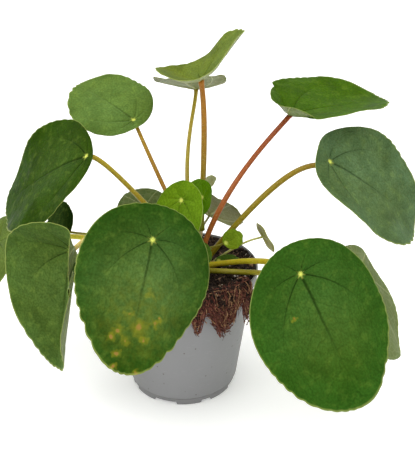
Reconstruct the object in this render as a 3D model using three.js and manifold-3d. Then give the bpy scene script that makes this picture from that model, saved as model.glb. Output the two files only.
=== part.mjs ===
// Potted Chinese money plant (Pilea peperomioides): a round-leaved house plant in a plastic nursery pot.
// Millimetres, +Z up. The plant is laid out about the pot's axis, and the finished group is then moved
// so that the middle of its bounding box stands over the origin, with the pot's feet on z = 0.
// Headings are in degrees about Z: 0 looks along -Y (the front), 90 along +X (the right).
import * as THREE from "three";
import { mergeVertices } from "three/addons/utils/BufferGeometryUtils.js";
import Module from "manifold-3d";

const wasm = await Module();
wasm.setup();

// Driving dimensions

// A touching pair is drawn with this much air between its surfaces.
const seatGap = 0.3;

const pot = {
  height: 104,
  rimRadius: 60,
  rimInnerRadius: 58.3,
  rimBandBottom: 94,
  rimLedge: 1.5,
  wallTopRadius: 56.7,
  wallFootRadius: 44.6,
  wall: 1.2,
  footRadius: 43,
  footInnerRadius: 41.2,
  footHeight: 6,
  floorUnderside: 4,
  floorTop: 5.4,
  innerCornerHeight: 7.4,
  cornerRun: 1.8,
  footRound: 0.8,
  bandTaper: 0.7,
  lipRound: 0.5,
  facets: 60,
};

// Slots through the foot ring let water out sideways.
const wideSlot = { headings: [-21, 69, 159, 249], width: 18, height: 3 };
const narrowSlot = { headings: [24, 114, 204, 294], width: 7.5, height: 2.5 };
const slotDepth = 8;

const drain = { count: 6, radius: 3.5, ring: 28, facets: 12 };

const trunk = {
  offset: [13, 0],
  rootZ: 80,
  neckZ: 112,
  topZ: 125.6,
  rootRadius: 6.6,
  neckRadius: 6,
  shoulderRadius: 5,
  crown: { drop: 2.6, run: 2, round: 0.6 },
  facets: 14,
};

const soil = {
  level: 96.4,
  edgeRise: 1.8,
  edgeRadius: 57.9,
  mound: { heading: 25, reach: 24, rise: 4, from: 30, run: 18 },
  bumps: { height: 0.6, perTurn: 3, outward: 7, twist: 2, across: 5.5 },
  rings: [0.24, 0.45, 0.63, 0.8, 0.92, 1],
  facets: 30,
};

// A clump of coconut fibre hangs over the rim at the front right.
const coir = {
  from: -2,
  to: 52,
  steps: 15,
  insideRadius: 47,
  insideZ: 103.2,
  hang: 79,
  shortHang: 92,
  lumps: 1.2,
  lumpTurn: 2.4,
  tailTurn: 1.7,
  thin: 0.2,
};

const blade = {
  thickness: 0.8,
  waves: 5,
  waveShare: 0.013,
  dimpleShare: 0.016,
  dimpleReach: 0.09,
  turnPerLeaf: 137.5,
};

const stalk = {
  startInside: 3,
  clearHeight: 16,
};

// The leaves
// hub: where the stalk meets the blade. look and tilt: heading and elevation of the upper face's normal.
// roll: turns the tip away from the steepest way down. behind: share of the length behind the hub.
// egg: how much wider the back is than the tip. bend: how far the blade turns down, or up when negative,
// towards the tip, the back, the left and the right, in degrees, over a span of the way to the margin.
// stem: thickness, heading and height of its foot on the trunk, heading and rise where it leaves, the two
// handle lengths of its curve, and how far it turns square to the blade at the end.
const leaves = [
  {
    place: "upper_left", hub: [-37, 60, 205], look: -10, tilt: 59, roll: -127,
    length: 80, width: 66, behind: 0.12, egg: 0.07,
    bend: { tip: 6, back: 2, left: 0, right: 0, span: 1 },
    stem: { size: 3.4, foot: -130, z: 114, leave: -132, rise: 52, first: 38, last: 7, square: 0.43 },
  },
  {
    place: "left", hub: [-69, 0, 195], look: -52, tilt: 45, roll: -52,
    length: 110, width: 92, behind: 0.05, egg: 0.1,
    bend: { tip: 21, back: 8, left: -19, right: -1, span: 1 },
    stem: { size: 4, foot: -102, z: 107, leave: -101, rise: 51, first: 130, last: 8, square: 0.45 },
  },
  {
    place: "left_back", hub: [-100, 61, 106], look: -63, tilt: 25, roll: -75,
    length: 59, width: 50, behind: 0.2, egg: 0,
    bend: { tip: 0, back: 0, left: 0, right: 0, span: 1 },
    stem: { size: 2.2, foot: -128, z: 102, leave: -123, rise: 25, first: 51, last: 26, square: 0.45 },
  },
  {
    place: "left_front", hub: [-78.5, -44, 138.5], look: -24, tilt: 1, roll: -8,
    length: 121, width: 101, behind: 0.21, egg: 0.33,
    bend: { tip: -7, back: -26, left: -3, right: -66, span: 0.21 },
    stem: { size: 3.8, foot: -52, z: 107, leave: -71, rise: 52, first: 93, last: 7, square: 0.47 },
  },
  {
    place: "far_left", hub: [-148.8, 23.4, 115], look: -54, tilt: 50, roll: -7,
    length: 98, width: 79, behind: 0.24, egg: 0.04,
    bend: { tip: 10, back: 0, left: 14, right: 8, span: 1 },
    stem: { size: 4, foot: -78, z: 101, leave: -89, rise: 25, first: 126, last: 19, square: 0.45 },
  },
  {
    place: "front", hub: [-18, -80, 164], look: 26, tilt: 22, roll: -25,
    length: 110, width: 89, behind: 0.21, egg: 0.23,
    bend: { tip: -2, back: 5, left: 9, right: 5, span: 1 },
    stem: { size: 4.4, foot: -8, z: 106, leave: -28, rise: 15, first: 50, last: 26, square: 0.45 },
  },
  {
    place: "back_left", hub: [-32, 86, 116], look: 170, tilt: 12, roll: -12,
    length: 71, width: 61, behind: 0.3, egg: 0,
    bend: { tip: 0, back: 0, left: 0, right: 0, span: 1 },
    stem: { size: 3, foot: -160, z: 106, leave: -156, rise: 40, first: 39, last: 20, square: 0.45 },
  },
  {
    place: "top", hub: [16, 24, 245.3], look: -92, tilt: 64, roll: 181,
    length: 82, width: 71, behind: 0.43, egg: -0.17,
    bend: { tip: -28, back: -47, left: -13, right: -15, span: 0.46 },
    stem: { size: 4.4, foot: 150, z: 119, leave: 156, rise: 83, first: 48, last: 26, square: 0.45 },
  },
  {
    place: "top_back", hub: [14.6, 92, 222.5], look: 181, tilt: 72, roll: 162,
    length: 67.7, width: 60.4, behind: 0.23, egg: 0,
    bend: { tip: -7, back: -4, left: -17, right: -17, span: 0.8 },
    stem: { size: 3.4, foot: -160, z: 118, leave: -154, rise: 58, first: 69, last: 20, square: 0.45 },
  },
  {
    place: "upper_right", hub: [90, 52, 211], look: -1, tilt: 80, roll: 107.5,
    length: 102.6, width: 96, behind: 0.18, egg: 0.23,
    bend: { tip: 0, back: -42, left: -22, right: -13, span: 0.3 },
    stem: { size: 4.2, foot: 124, z: 112, leave: 125, rise: 70, first: 63, last: 6, square: 0.42 },
  },
  {
    place: "right", hub: [114.4, 9.2, 184.8], look: 40, tilt: 43.5, roll: 43.3,
    length: 114.6, width: 93.5, behind: 0.14, egg: -0.03,
    bend: { tip: 12, back: -12, left: -17, right: -30, span: 0.92 },
    stem: { size: 4.6, foot: 112, z: 102, leave: 104, rise: 50, first: 129, last: 18, square: 0.45 },
  },
  {
    place: "right_front", hub: [80, -75, 134], look: 15, tilt: 26, roll: 18,
    length: 121, width: 100, behind: 0.18, egg: 0.09,
    bend: { tip: -5, back: 0, left: 1, right: 11, span: 1 },
    stem: { size: 4.4, foot: 66, z: 102, leave: 65, rise: 21, first: 76, last: 19, square: 0.45 },
  },
  {
    place: "right_low", hub: [138.8, -20.6, 100.2], look: 105.6, tilt: 14, roll: -23,
    length: 95.4, width: 84.6, behind: 0.28, egg: 0.08,
    bend: { tip: 1, back: 1, left: 4, right: 1, span: 1 },
    stem: { size: 4, foot: 30, z: 100, leave: 0, rise: 26.5, first: 40, last: 70, square: 0 },
  },
  {
    place: "centre", hub: [0, -21, 167], look: -40, tilt: 31, roll: 8,
    length: 55, width: 44, behind: 0.27, egg: -0.04,
    bend: { tip: 0, back: 0, left: 0, right: 0, span: 1 },
    stem: { size: 3, foot: -35, z: 114, leave: -12, rise: 55, first: 23, last: 12, square: 0.45 },
  },
  {
    place: "centre_right", hub: [16, 0, 160], look: 42, tilt: 1, roll: -89,
    length: 37, width: 33, behind: 0.3, egg: 0.04,
    bend: { tip: 0, back: 0, left: 0, right: 0, span: 1 },
    stem: { size: 2.4, foot: 50, z: 119, leave: 71, rise: 95, first: 15, last: 9, square: 0.6 },
  },
  {
    place: "crown_back", hub: [22, 60, 146], look: 209, tilt: 36, roll: 158,
    length: 22, width: 19, behind: 0.24, egg: 0,
    bend: { tip: 0, back: 0, left: 0, right: 0, span: 1 },
    stem: { size: 1.6, foot: 178, z: 117, leave: 175, rise: 45, first: 27, last: 13, square: 0.45 },
  },
  {
    place: "back_right", hub: [26, 85, 109], look: 140, tilt: 37, roll: -131,
    length: 53, width: 47, behind: 0.09, egg: -0.03,
    bend: { tip: 0, back: 0, left: 0, right: 0, span: 1 },
    stem: { size: 2.2, foot: 165, z: 110, leave: 173, rise: 45, first: 30, last: 18, square: 0.45 },
  },
  {
    place: "soil_round", hub: [34, -8, 125.5], look: 28, tilt: 41, roll: 103,
    length: 19, width: 16, behind: 0.12, egg: 0,
    bend: { tip: 0, back: 0, left: 0, right: 0, span: 1 },
    stem: { size: 1.6, foot: 78, z: 116, leave: 77, rise: 25, first: 9, last: 7, square: 0.45 },
  },
  {
    place: "soil_right", hub: [66, 18, 118], look: 105, tilt: 24, roll: -112,
    length: 32, width: 27, behind: 0.25, egg: 0,
    bend: { tip: 0, back: 0, left: 0, right: 0, span: 1 },
    stem: { size: 1.8, foot: 98, z: 98.5, leave: 107, rise: 31, first: 47, last: 7, square: 0.45 },
  },
  {
    place: "soil_low", hub: [29, -1.5, 106.5], look: 10, tilt: 50, roll: 90,
    length: 20, width: 10, behind: 0.15, egg: 0.1,
    bend: { tip: 0, back: 0, left: 0, right: 0, span: 1 },
    stem: { size: 1.4, foot: 62, z: 107.5, leave: 80, rise: -5, first: 8, last: 5, square: 0.6 },
  },
  {
    place: "soil_front", hub: [13, -14, 125], look: 15, tilt: 35, roll: 10,
    length: 21, width: 17, behind: 0.25, egg: 0.1,
    bend: { tip: 0, back: 0, left: 0, right: 0, span: 1 },
    stem: { size: 1.8, foot: 20, z: 112, leave: 14, rise: 40, first: 8, last: 6, square: 0.45 },
  },
];

// How finely blades and stalks of each size are divided. A folded blade has rings of its own.
const foldRings = [0.14, 0.32, 0.6, 1];
const fineness = {
  large: { from: 60, sectors: 36, rings: [0.15, 0.55, 1], sides: 8, steps: 10 },
  medium: { from: 40, sectors: 24, rings: [0.15, 0.55, 1], sides: 6, steps: 9 },
  small: { from: 0, sectors: 18, rings: [0.4, 1], sides: 6, steps: 8 },
};

// Finishes

function finish(color, roughness) {
  return new THREE.MeshStandardMaterial({ color, roughness, metalness: 0 });
}

const finishes = {
  blade: () => finish(0x3f6b2a, 0.45),
  youngBlade: () => finish(0x6a9a35, 0.45),
  stem: () => finish(0x9a8a3c, 0.5),
  redStem: () => finish(0xa8633a, 0.5),
  trunk: () => finish(0x6d5238, 0.85),
  soil: () => finish(0x2a211c, 0.95),
  coir: () => finish(0x7a4a30, 0.95),
  pot: () => finish(0x8f8f93, 0.6),
};

const youngPlaces = ["upper_left", "upper_right", "centre", "centre_right", "soil_round"];
const redStemPlaces = ["upper_left", "upper_right", "left_front", "centre_right"];

// Helpers

const radians = THREE.MathUtils.degToRad;

function heading(degrees, elevation = 0) {
  const turn = radians(degrees);
  const lift = radians(elevation);
  return new THREE.Vector3(
    Math.sin(turn) * Math.cos(lift),
    -Math.cos(turn) * Math.cos(lift),
    Math.sin(lift),
  );
}

function solidFrom(geometry) {
  const bare = geometry.clone();
  bare.deleteAttribute("normal");
  bare.deleteAttribute("uv");
  const merged = mergeVertices(bare, 1e-4);
  return new wasm.Manifold(new wasm.Mesh({
    numProp: 3,
    vertProperties: new Float32Array(merged.attributes.position.array),
    triVerts: new Uint32Array(merged.index.array),
  }));
}

function geometryFrom(solid) {
  const mesh = solid.getMesh();
  const geometry = new THREE.BufferGeometry();
  geometry.setAttribute("position", new THREE.BufferAttribute(new Float32Array(mesh.vertProperties), 3));
  geometry.setIndex(new THREE.BufferAttribute(new Uint32Array(mesh.triVerts), 1));
  geometry.computeVertexNormals();
  return geometry;
}

function indexedGeometry(positions, triangles) {
  const geometry = new THREE.BufferGeometry();
  geometry.setAttribute("position", new THREE.Float32BufferAttribute(positions, 3));
  geometry.setIndex(triangles);
  geometry.computeVertexNormals();
  return geometry;
}

// Turns a closed profile of [radius, height] points about Z.
function turned(profile, facets) {
  const points = profile.map(([radius, height]) => new THREE.Vector2(radius, height));
  const lathe = new THREE.LatheGeometry(points, facets);
  lathe.rotateX(Math.PI / 2);
  return lathe;
}

const group = new THREE.Group();
group.name = "potted_money_plant";

function addPart(name, geometry, material) {
  const mesh = new THREE.Mesh(geometry, material);
  mesh.name = name;
  group.add(mesh);
  return mesh;
}

// Pot

function boxAtHeading(degrees, radius, width, depth, height, low) {
  const box = new THREE.BoxGeometry(depth, width, height);
  box.translate(radius, 0, low + height / 2);
  box.rotateZ(radians(degrees - 90));
  return solidFrom(box);
}

function potGeometry() {
  const innerTop = pot.wallTopRadius - pot.wall;
  const innerFoot = pot.wallFootRadius - pot.wall;
  const profile = [
    [0, pot.floorUnderside],
    [pot.footInnerRadius, pot.floorUnderside],
    [pot.footInnerRadius, 0],
    [pot.footRadius, 0],
    [pot.footRadius + pot.bandTaper, pot.footHeight],
    [pot.wallFootRadius, pot.footHeight + pot.footRound],
    [pot.wallTopRadius, pot.rimBandBottom],
    [pot.rimRadius - pot.bandTaper, pot.rimBandBottom],
    [pot.rimRadius, pot.height - 2 * pot.lipRound],
    [pot.rimRadius - pot.lipRound, pot.height],
    [pot.rimInnerRadius + pot.lipRound / 2, pot.height],
    [pot.rimInnerRadius, pot.rimBandBottom + 2 * pot.rimLedge],
    [innerTop, pot.rimBandBottom + pot.wall],
    [innerFoot, pot.innerCornerHeight],
    [innerFoot - pot.cornerRun, pot.floorTop],
    [0, pot.floorTop],
  ];
  let body = solidFrom(turned(profile, pot.facets));
  for (const slot of [wideSlot, narrowSlot]) {
    for (const degrees of slot.headings) {
      const cut = boxAtHeading(degrees, pot.footRadius, slot.width, slotDepth, slot.height + 1, -1);
      body = body.subtract(cut);
    }
  }
  for (let index = 0; index < drain.count; index += 1) {
    const hole = new THREE.CylinderGeometry(drain.radius, drain.radius, pot.floorTop * 2, drain.facets);
    hole.rotateX(Math.PI / 2);
    hole.translate(drain.ring, 0, pot.floorTop);
    hole.rotateZ(radians((360 / drain.count) * index));
    body = body.subtract(solidFrom(hole));
  }
  return geometryFrom(body);
}

// Trunk

function trunkSolid(clearance) {
  const profile = [
    [0, trunk.rootZ - clearance],
    [trunk.rootRadius + clearance, trunk.rootZ - clearance],
    [trunk.rootRadius + clearance, soil.level],
    [trunk.neckRadius + clearance, trunk.neckZ],
    [trunk.shoulderRadius + clearance, trunk.topZ - trunk.crown.drop],
    [trunk.shoulderRadius - trunk.crown.run + clearance, trunk.topZ - trunk.crown.round + clearance],
    [0, trunk.topZ + clearance],
  ];
  const lathe = turned(profile, trunk.facets);
  lathe.translate(trunk.offset[0], trunk.offset[1], 0);
  return solidFrom(lathe);
}

const trunkBody = trunkSolid(0);
const trunkRoom = trunkSolid(seatGap);

// Soil

// Height of the soil at a distance from the pot's axis and a heading.
function soilHeight(radius, degrees) {
  const share = radius / soil.edgeRadius;
  const across = (degrees - soil.mound.heading) / soil.mound.reach;
  const outward = THREE.MathUtils.smoothstep(radius, soil.mound.from, soil.mound.from + soil.mound.run);
  const mound = soil.mound.rise * Math.exp(-across * across) * outward;
  const turn = radians(degrees);
  const { height, perTurn, outward: along, twist, across: aside } = soil.bumps;
  const lumps = Math.sin(perTurn * turn + radius / along) * Math.cos(radius / aside + twist * turn);
  return soil.level + soil.edgeRise * share * share + mound + height * lumps;
}

function soilGeometry() {
  const ledgeRadius = pot.wallTopRadius - pot.wall - seatGap;
  const footRadius = pot.wallFootRadius - pot.wall - seatGap;
  const sides = [
    [footRadius - pot.cornerRun, pot.floorTop + seatGap],
    [footRadius, pot.innerCornerHeight + seatGap],
    [ledgeRadius, pot.rimBandBottom + pot.rimLedge],
    [soil.edgeRadius, pot.rimBandBottom + 2 * pot.rimLedge + seatGap],
  ];
  const positions = [];
  const triangles = [];
  const count = soil.facets;
  const degreesOf = (index) => ((index * 360) / count + 180) % 360 - 180;
  const pushRing = (radius, heightOf) => {
    for (let index = 0; index < count; index += 1) {
      const way = heading(degreesOf(index));
      positions.push(way.x * radius, way.y * radius, heightOf(degreesOf(index)));
    }
  };
  for (const [radius, height] of sides) {
    pushRing(radius, () => height);
  }
  for (const share of [...soil.rings].reverse()) {
    const radius = share * (soil.edgeRadius - 0.1);
    pushRing(radius, (degrees) => soilHeight(radius, degrees));
  }
  const ringCount = sides.length + soil.rings.length;
  for (let ring = 0; ring + 1 < ringCount; ring += 1) {
    for (let index = 0; index < count; index += 1) {
      const next = (index + 1) % count;
      const low = ring * count;
      const high = low + count;
      triangles.push(low + index, low + next, high + next, low + index, high + next, high + index);
    }
  }
  const floorCentre = positions.length / 3;
  positions.push(0, 0, pot.floorTop + seatGap);
  const topCentre = floorCentre + 1;
  positions.push(0, 0, soil.level);
  const top = (ringCount - 1) * count;
  for (let index = 0; index < count; index += 1) {
    const next = (index + 1) % count;
    triangles.push(floorCentre, next, index);
    triangles.push(topCentre, top + index, top + next);
  }
  const body = solidFrom(indexedGeometry(positions, triangles));
  return geometryFrom(body.subtract(trunkRoom));
}

// Coir over the rim

function coirGeometry() {
  const positions = [];
  const triangles = [];
  const overRim = pot.height + seatGap;
  const outside = pot.rimRadius + seatGap + 0.2;
  const inside = pot.rimInnerRadius - 0.7;
  let corners = 0;
  for (let step = 0; step < coir.steps; step += 1) {
    const share = step / (coir.steps - 1);
    const degrees = coir.from + share * (coir.to - coir.from);
    const middle = Math.sin(Math.PI * Math.min(1, Math.max(0, (share - coir.thin) / (1 - coir.thin))));
    const lump = coir.lumps * Math.sin(step * coir.lumpTurn);
    const tail = coir.lumps * Math.cos(step * coir.tailTurn);
    const bottom = coir.shortHang + (coir.hang - coir.shortHang) * middle + tail;
    const swell = 0.5 + 0.5 * Math.sin(Math.PI * share);
    // From the inner edge over the rim, down the outside of the wall, and back over the top of the clump.
    const section = [
      [coir.insideRadius + 2 - 2 * swell, coir.insideZ],
      [inside, coir.insideZ + 0.4],
      [inside + 0.4, overRim + 0.2],
      [outside, overRim + 0.2],
      [outside, 98],
      [outside, bottom + 4],
      [outside + 1.2, bottom],
      [outside + 2.6 * swell + 1, bottom + 2],
      [outside + (4.4 + lump) * swell, 95 + tail],
      [outside + (4.2 - lump) * swell, 103],
      [outside - 1, overRim + 2 + (2.2 + tail) * swell],
      [inside - 4, overRim + 1.2 + (1.8 + lump) * swell],
      [coir.insideRadius + 3 - 2 * swell, coir.insideZ + 1.2 + 0.8 * swell],
    ];
    corners = section.length;
    const way = heading(degrees);
    for (const [radius, height] of section) {
      positions.push(way.x * radius, way.y * radius, height);
    }
  }
  for (let step = 0; step + 1 < coir.steps; step += 1) {
    for (let corner = 0; corner < corners; corner += 1) {
      const next = (corner + 1) % corners;
      const here = step * corners;
      const there = here + corners;
      triangles.push(here + next, here + corner, there + corner);
      triangles.push(here + next, there + corner, there + next);
    }
  }
  const flat = [];
  for (let corner = 0; corner < corners; corner += 1) {
    const [x, y, z] = positions.slice(3 * corner, 3 * corner + 3);
    flat.push(new THREE.Vector2(Math.hypot(x, y), z));
  }
  const last = (coir.steps - 1) * corners;
  for (const [a, b, c] of THREE.ShapeUtils.triangulateShape(flat, [])) {
    triangles.push(a, b, c);
    triangles.push(last + a, last + c, last + b);
  }
  const body = solidFrom(indexedGeometry(positions, triangles));
  return geometryFrom(body);
}

// Leaf blades

function bentArc(distance, reach, turn, span) {
  const curvature = radians(turn) / (span * reach);
  if (Math.abs(curvature) < 1e-9) {
    return { along: distance, rise: 0, slope: 0 };
  }
  const size = Math.abs(distance);
  const curved = Math.min(size, span * reach);
  const straight = size - curved;
  const along = Math.sin(curvature * curved) / curvature + straight * Math.cos(radians(turn));
  const drop = (1 - Math.cos(curvature * curved)) / curvature + straight * Math.sin(radians(turn));
  const side = Math.sign(distance);
  return { along: side * along, rise: -drop, slope: -side * curvature * curved };
}

function bladeFrame(leaf) {
  const turn = radians(leaf.look);
  const lift = radians(leaf.tilt);
  const normal = heading(leaf.look, leaf.tilt);
  const down = new THREE.Vector3(
    Math.sin(lift) * Math.sin(turn),
    -Math.sin(lift) * Math.cos(turn),
    -Math.cos(lift),
  );
  const side = new THREE.Vector3().crossVectors(normal, down);
  const roll = radians(leaf.roll);
  const tip = down.multiplyScalar(Math.cos(roll)).addScaledVector(side, Math.sin(roll));
  const across = new THREE.Vector3().crossVectors(normal, tip);
  return { hub: new THREE.Vector3(...leaf.hub), normal, tip, across };
}

function sizeClass(leaf) {
  return [fineness.large, fineness.medium, fineness.small].find((grade) => leaf.length >= grade.from);
}

// A point of the blade's middle surface: share runs from the hub to the margin, angle around it.
function bladePoint(leaf, frame, index, share, angle) {
  const { length, width, behind, bend, egg } = leaf;
  const u = share * ((0.5 - behind) * length + 0.5 * length * Math.cos(angle));
  const v = share * 0.5 * width * Math.sin(angle) * (1 - egg * Math.cos(angle));
  const reach = u < 0 ? behind * length : (1 - behind) * length;
  const long = bentArc(u, reach, u < 0 ? bend.back : bend.tip, bend.span);
  const cross = bentArc(v, 0.5 * width, v < 0 ? bend.left : bend.right, bend.span);
  const phase = radians(blade.turnPerLeaf * index);
  const wave = blade.waveShare * length * share ** 3 * Math.sin(blade.waves * angle + phase);
  const fromHub = Math.hypot(u, v) / (blade.dimpleReach * length);
  const dimple = blade.dimpleShare * length * Math.exp(-fromHub * fromHub);
  const rise = cross.rise + wave - dimple;
  return frame.hub.clone()
    .addScaledVector(frame.tip, long.along - rise * Math.sin(long.slope))
    .addScaledVector(frame.across, cross.along)
    .addScaledVector(frame.normal, long.rise + rise * Math.cos(long.slope));
}

function bladeGeometry(leaf, index) {
  const frame = bladeFrame(leaf);
  const grade = sizeClass(leaf);
  const rings = leaf.bend.span < 1 ? foldRings : grade.rings;
  const sectors = grade.sectors;
  const middle = [...bladePoint(leaf, frame, index, 0, 0)];
  for (const share of rings) {
    for (let sector = 0; sector < sectors; sector += 1) {
      middle.push(...bladePoint(leaf, frame, index, share, (sector * 2 * Math.PI) / sectors));
    }
  }
  const face = [];
  const at = (ring, sector) => 1 + ring * sectors + (sector % sectors);
  for (let sector = 0; sector < sectors; sector += 1) {
    face.push(0, at(0, sector), at(0, sector + 1));
    for (let ring = 0; ring + 1 < rings.length; ring += 1) {
      face.push(at(ring, sector), at(ring + 1, sector), at(ring + 1, sector + 1));
      face.push(at(ring, sector), at(ring + 1, sector + 1), at(ring, sector + 1));
    }
  }
  const sheet = indexedGeometry(middle, face);
  const normals = sheet.attributes.normal.array;
  const half = blade.thickness / 2;
  const upper = middle.map((value, at3) => value + half * normals[at3]);
  const lower = middle.map((value, at3) => value - half * normals[at3]);
  const count = middle.length / 3;
  const triangles = [...face];
  for (let corner = 0; corner < face.length; corner += 3) {
    triangles.push(face[corner] + count, face[corner + 2] + count, face[corner + 1] + count);
  }
  const margin = rings.length - 1;
  for (let sector = 0; sector < sectors; sector += 1) {
    const here = at(margin, sector);
    const next = at(margin, sector + 1);
    triangles.push(here, here + count, next + count, here, next + count, next);
  }
  return indexedGeometry([...upper, ...lower], triangles);
}

// Leaf stalks

function stalkCurve(leaf, frame) {
  const { stem } = leaf;
  const axis = new THREE.Vector3(trunk.offset[0], trunk.offset[1], stem.z);
  const foot = axis.addScaledVector(heading(stem.foot), stalk.startInside);
  const chord = frame.hub.clone().sub(foot).normalize();
  const arrive = chord.multiplyScalar(1 - stem.square);
  arrive.addScaledVector(frame.normal, stem.square).normalize();
  return new THREE.CubicBezierCurve3(
    foot,
    foot.clone().addScaledVector(heading(stem.leave, stem.rise), stem.first),
    frame.hub.clone().addScaledVector(arrive, -stem.last),
    frame.hub.clone(),
  );
}

// The room that the blade takes up above the end of its stalk.
function bladeRoom(leaf, frame) {
  const reach = 3 * leaf.stem.size + 4;
  const box = new THREE.BoxGeometry(reach, reach, stalk.clearHeight);
  const underside = blade.dimpleShare * leaf.length + blade.thickness / 2 + seatGap;
  box.translate(0, 0, stalk.clearHeight / 2 - underside);
  const basis = new THREE.Matrix4().makeBasis(frame.tip, frame.across, frame.normal);
  basis.setPosition(frame.hub);
  box.applyMatrix4(basis);
  return solidFrom(box);
}

function stalkGeometry(leaf) {
  const frame = bladeFrame(leaf);
  const grade = sizeClass(leaf);
  const outline = new THREE.Shape();
  for (let side = 0; side < grade.sides; side += 1) {
    const angle = (side * 2 * Math.PI) / grade.sides;
    const x = 0.5 * leaf.stem.size * Math.cos(angle);
    const y = 0.5 * leaf.stem.size * Math.sin(angle);
    if (side === 0) {
      outline.moveTo(x, y);
    } else {
      outline.lineTo(x, y);
    }
  }
  outline.closePath();
  const rod = new THREE.ExtrudeGeometry(outline, {
    steps: grade.steps,
    bevelEnabled: false,
    extrudePath: stalkCurve(leaf, frame),
  });
  const body = solidFrom(rod).subtract(trunkRoom).subtract(bladeRoom(leaf, frame));
  return geometryFrom(body);
}

// Assembly

addPart("pot", potGeometry(), finishes.pot());
addPart("soil", soilGeometry(), finishes.soil());
addPart("coir_overhang", coirGeometry(), finishes.coir());
addPart("trunk", geometryFrom(trunkBody), finishes.trunk());

leaves.forEach((leaf, index) => {
  const stemFinish = redStemPlaces.includes(leaf.place) ? finishes.redStem() : finishes.stem();
  const bladeFinish = youngPlaces.includes(leaf.place) ? finishes.youngBlade() : finishes.blade();
  addPart(`petiole_${leaf.place}`, stalkGeometry(leaf), stemFinish);
  addPart(`blade_${leaf.place}`, bladeGeometry(leaf, index), bladeFinish);
});

const extent = new THREE.Box3().setFromObject(group, true);
const middle = extent.getCenter(new THREE.Vector3());
for (const mesh of group.children) {
  mesh.geometry.translate(-middle.x, -middle.y, 0);
}

export default group;
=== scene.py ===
"""Visual model of a potted Chinese money plant in a grey nursery pot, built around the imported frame.

Sizes are millimetres about the pot's axis, +Z up, the front towards -Y. Bench.publish turns them into metres
in the frame. Headings are degrees about Z: 0 looks along -Y, 90 along +X.
"""
import logging
import math
from collections.abc import Callable
from dataclasses import dataclass, field
from enum import Enum
from functools import partial

import bmesh
import bpy
import numpy as np
from bmesh.types import BMEdge, BMesh, BMFace, BMLayerItem, BMVert
from bpy.types import ID, Material, Mesh, Node, NodeSocket, NodeTree, Object
from mathutils import Matrix, Vector, noise


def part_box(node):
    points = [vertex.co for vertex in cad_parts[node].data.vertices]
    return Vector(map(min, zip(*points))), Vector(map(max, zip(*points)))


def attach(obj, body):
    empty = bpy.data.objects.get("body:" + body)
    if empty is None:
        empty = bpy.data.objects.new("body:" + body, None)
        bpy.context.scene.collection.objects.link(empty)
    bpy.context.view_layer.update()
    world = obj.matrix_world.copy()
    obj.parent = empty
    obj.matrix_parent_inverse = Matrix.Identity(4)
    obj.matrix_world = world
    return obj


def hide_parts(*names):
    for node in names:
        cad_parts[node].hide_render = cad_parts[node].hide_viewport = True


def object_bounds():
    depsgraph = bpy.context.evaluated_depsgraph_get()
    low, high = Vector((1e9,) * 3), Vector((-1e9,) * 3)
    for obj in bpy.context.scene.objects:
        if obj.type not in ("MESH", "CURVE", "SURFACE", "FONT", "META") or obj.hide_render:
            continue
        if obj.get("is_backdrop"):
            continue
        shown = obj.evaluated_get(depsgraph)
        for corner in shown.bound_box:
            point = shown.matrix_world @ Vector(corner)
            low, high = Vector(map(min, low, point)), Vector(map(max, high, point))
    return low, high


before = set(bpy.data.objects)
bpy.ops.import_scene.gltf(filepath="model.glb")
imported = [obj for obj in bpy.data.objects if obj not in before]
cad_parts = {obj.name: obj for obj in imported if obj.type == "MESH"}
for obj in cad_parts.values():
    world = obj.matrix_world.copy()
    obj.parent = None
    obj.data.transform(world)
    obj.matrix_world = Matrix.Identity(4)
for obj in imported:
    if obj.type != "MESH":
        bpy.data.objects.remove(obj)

LOG = logging.getLogger("money_plant")
MM = 0.001
GOLDEN_ANGLE = 137.5
# Numbers of the Mix node's two colour inputs.
MIX_A, MIX_B = 6, 7
Pair = tuple[float, float]
Triple = tuple[float, float, float]
Adder = Callable[..., Node]


# Shared helpers


def linear(code: str) -> tuple[float, float, float, float]:
    """Turn an sRGB hex colour into linear RGBA.

    Args:
        code: six hex digits after a hash sign.

    Returns:
        The linear red, green, blue and an alpha of one.
    """
    parts = [int(code[at:at + 2], 16) / 255 for at in (1, 3, 5)]
    red, green, blue = (p / 12.92 if p <= 0.04045 else ((p + 0.055) / 1.055) ** 2.4 for p in parts)
    return red, green, blue, 1.0


def add_node(tree: NodeTree, kind: str, inputs: dict | tuple = (), **settings: object) -> Node:
    """Add a shader node, set it up and fill or link its inputs.

    Args:
        tree: the material's node tree.
        kind: the node's type name, without ShaderNode.
        inputs: values, sockets, or nodes whose first live output is taken, in order or by the input's name.
        settings: properties set on the node first.

    Returns:
        The new node.
    """
    made = tree.nodes.new(f"ShaderNode{kind}")
    for name, value in settings.items():
        setattr(made, name, value)
    for name, value in inputs.items() if isinstance(inputs, dict) else enumerate(inputs):
        if isinstance(value, Node):
            value = next(socket for socket in value.outputs if socket.enabled)
        if isinstance(value, NodeSocket):
            tree.links.new(value, made.inputs[name])
        else:
            made.inputs[name].default_value = value
    return made


def heading(degrees: float, rise: float = 0.0) -> Vector:
    """Give the unit vector of a heading and a rise, both in degrees."""
    turn, lift = math.radians(degrees), math.radians(rise)
    return Vector((math.sin(turn) * math.cos(lift), -math.cos(turn) * math.cos(lift), math.sin(lift)))


def relief(points: np.ndarray, grain: float, height: float, seed: int, octaves: int = 3) -> np.ndarray:
    """Give smooth random heights at points, the same on every run.

    Args:
        points: an array of points in millimetres.
        grain: size of the largest lumps.
        height: their rough height.
        seed: shifts the pattern.
        octaves: how many finer layers lie on top.

    Returns:
        One height for each point.
    """
    shift = Vector((17.3 * seed, 5.1 * seed, 9.7 * seed))
    return np.array([height * noise.fractal(Vector(p) / grain + shift, 1.0, 2.0, octaves) for p in points])


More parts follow.
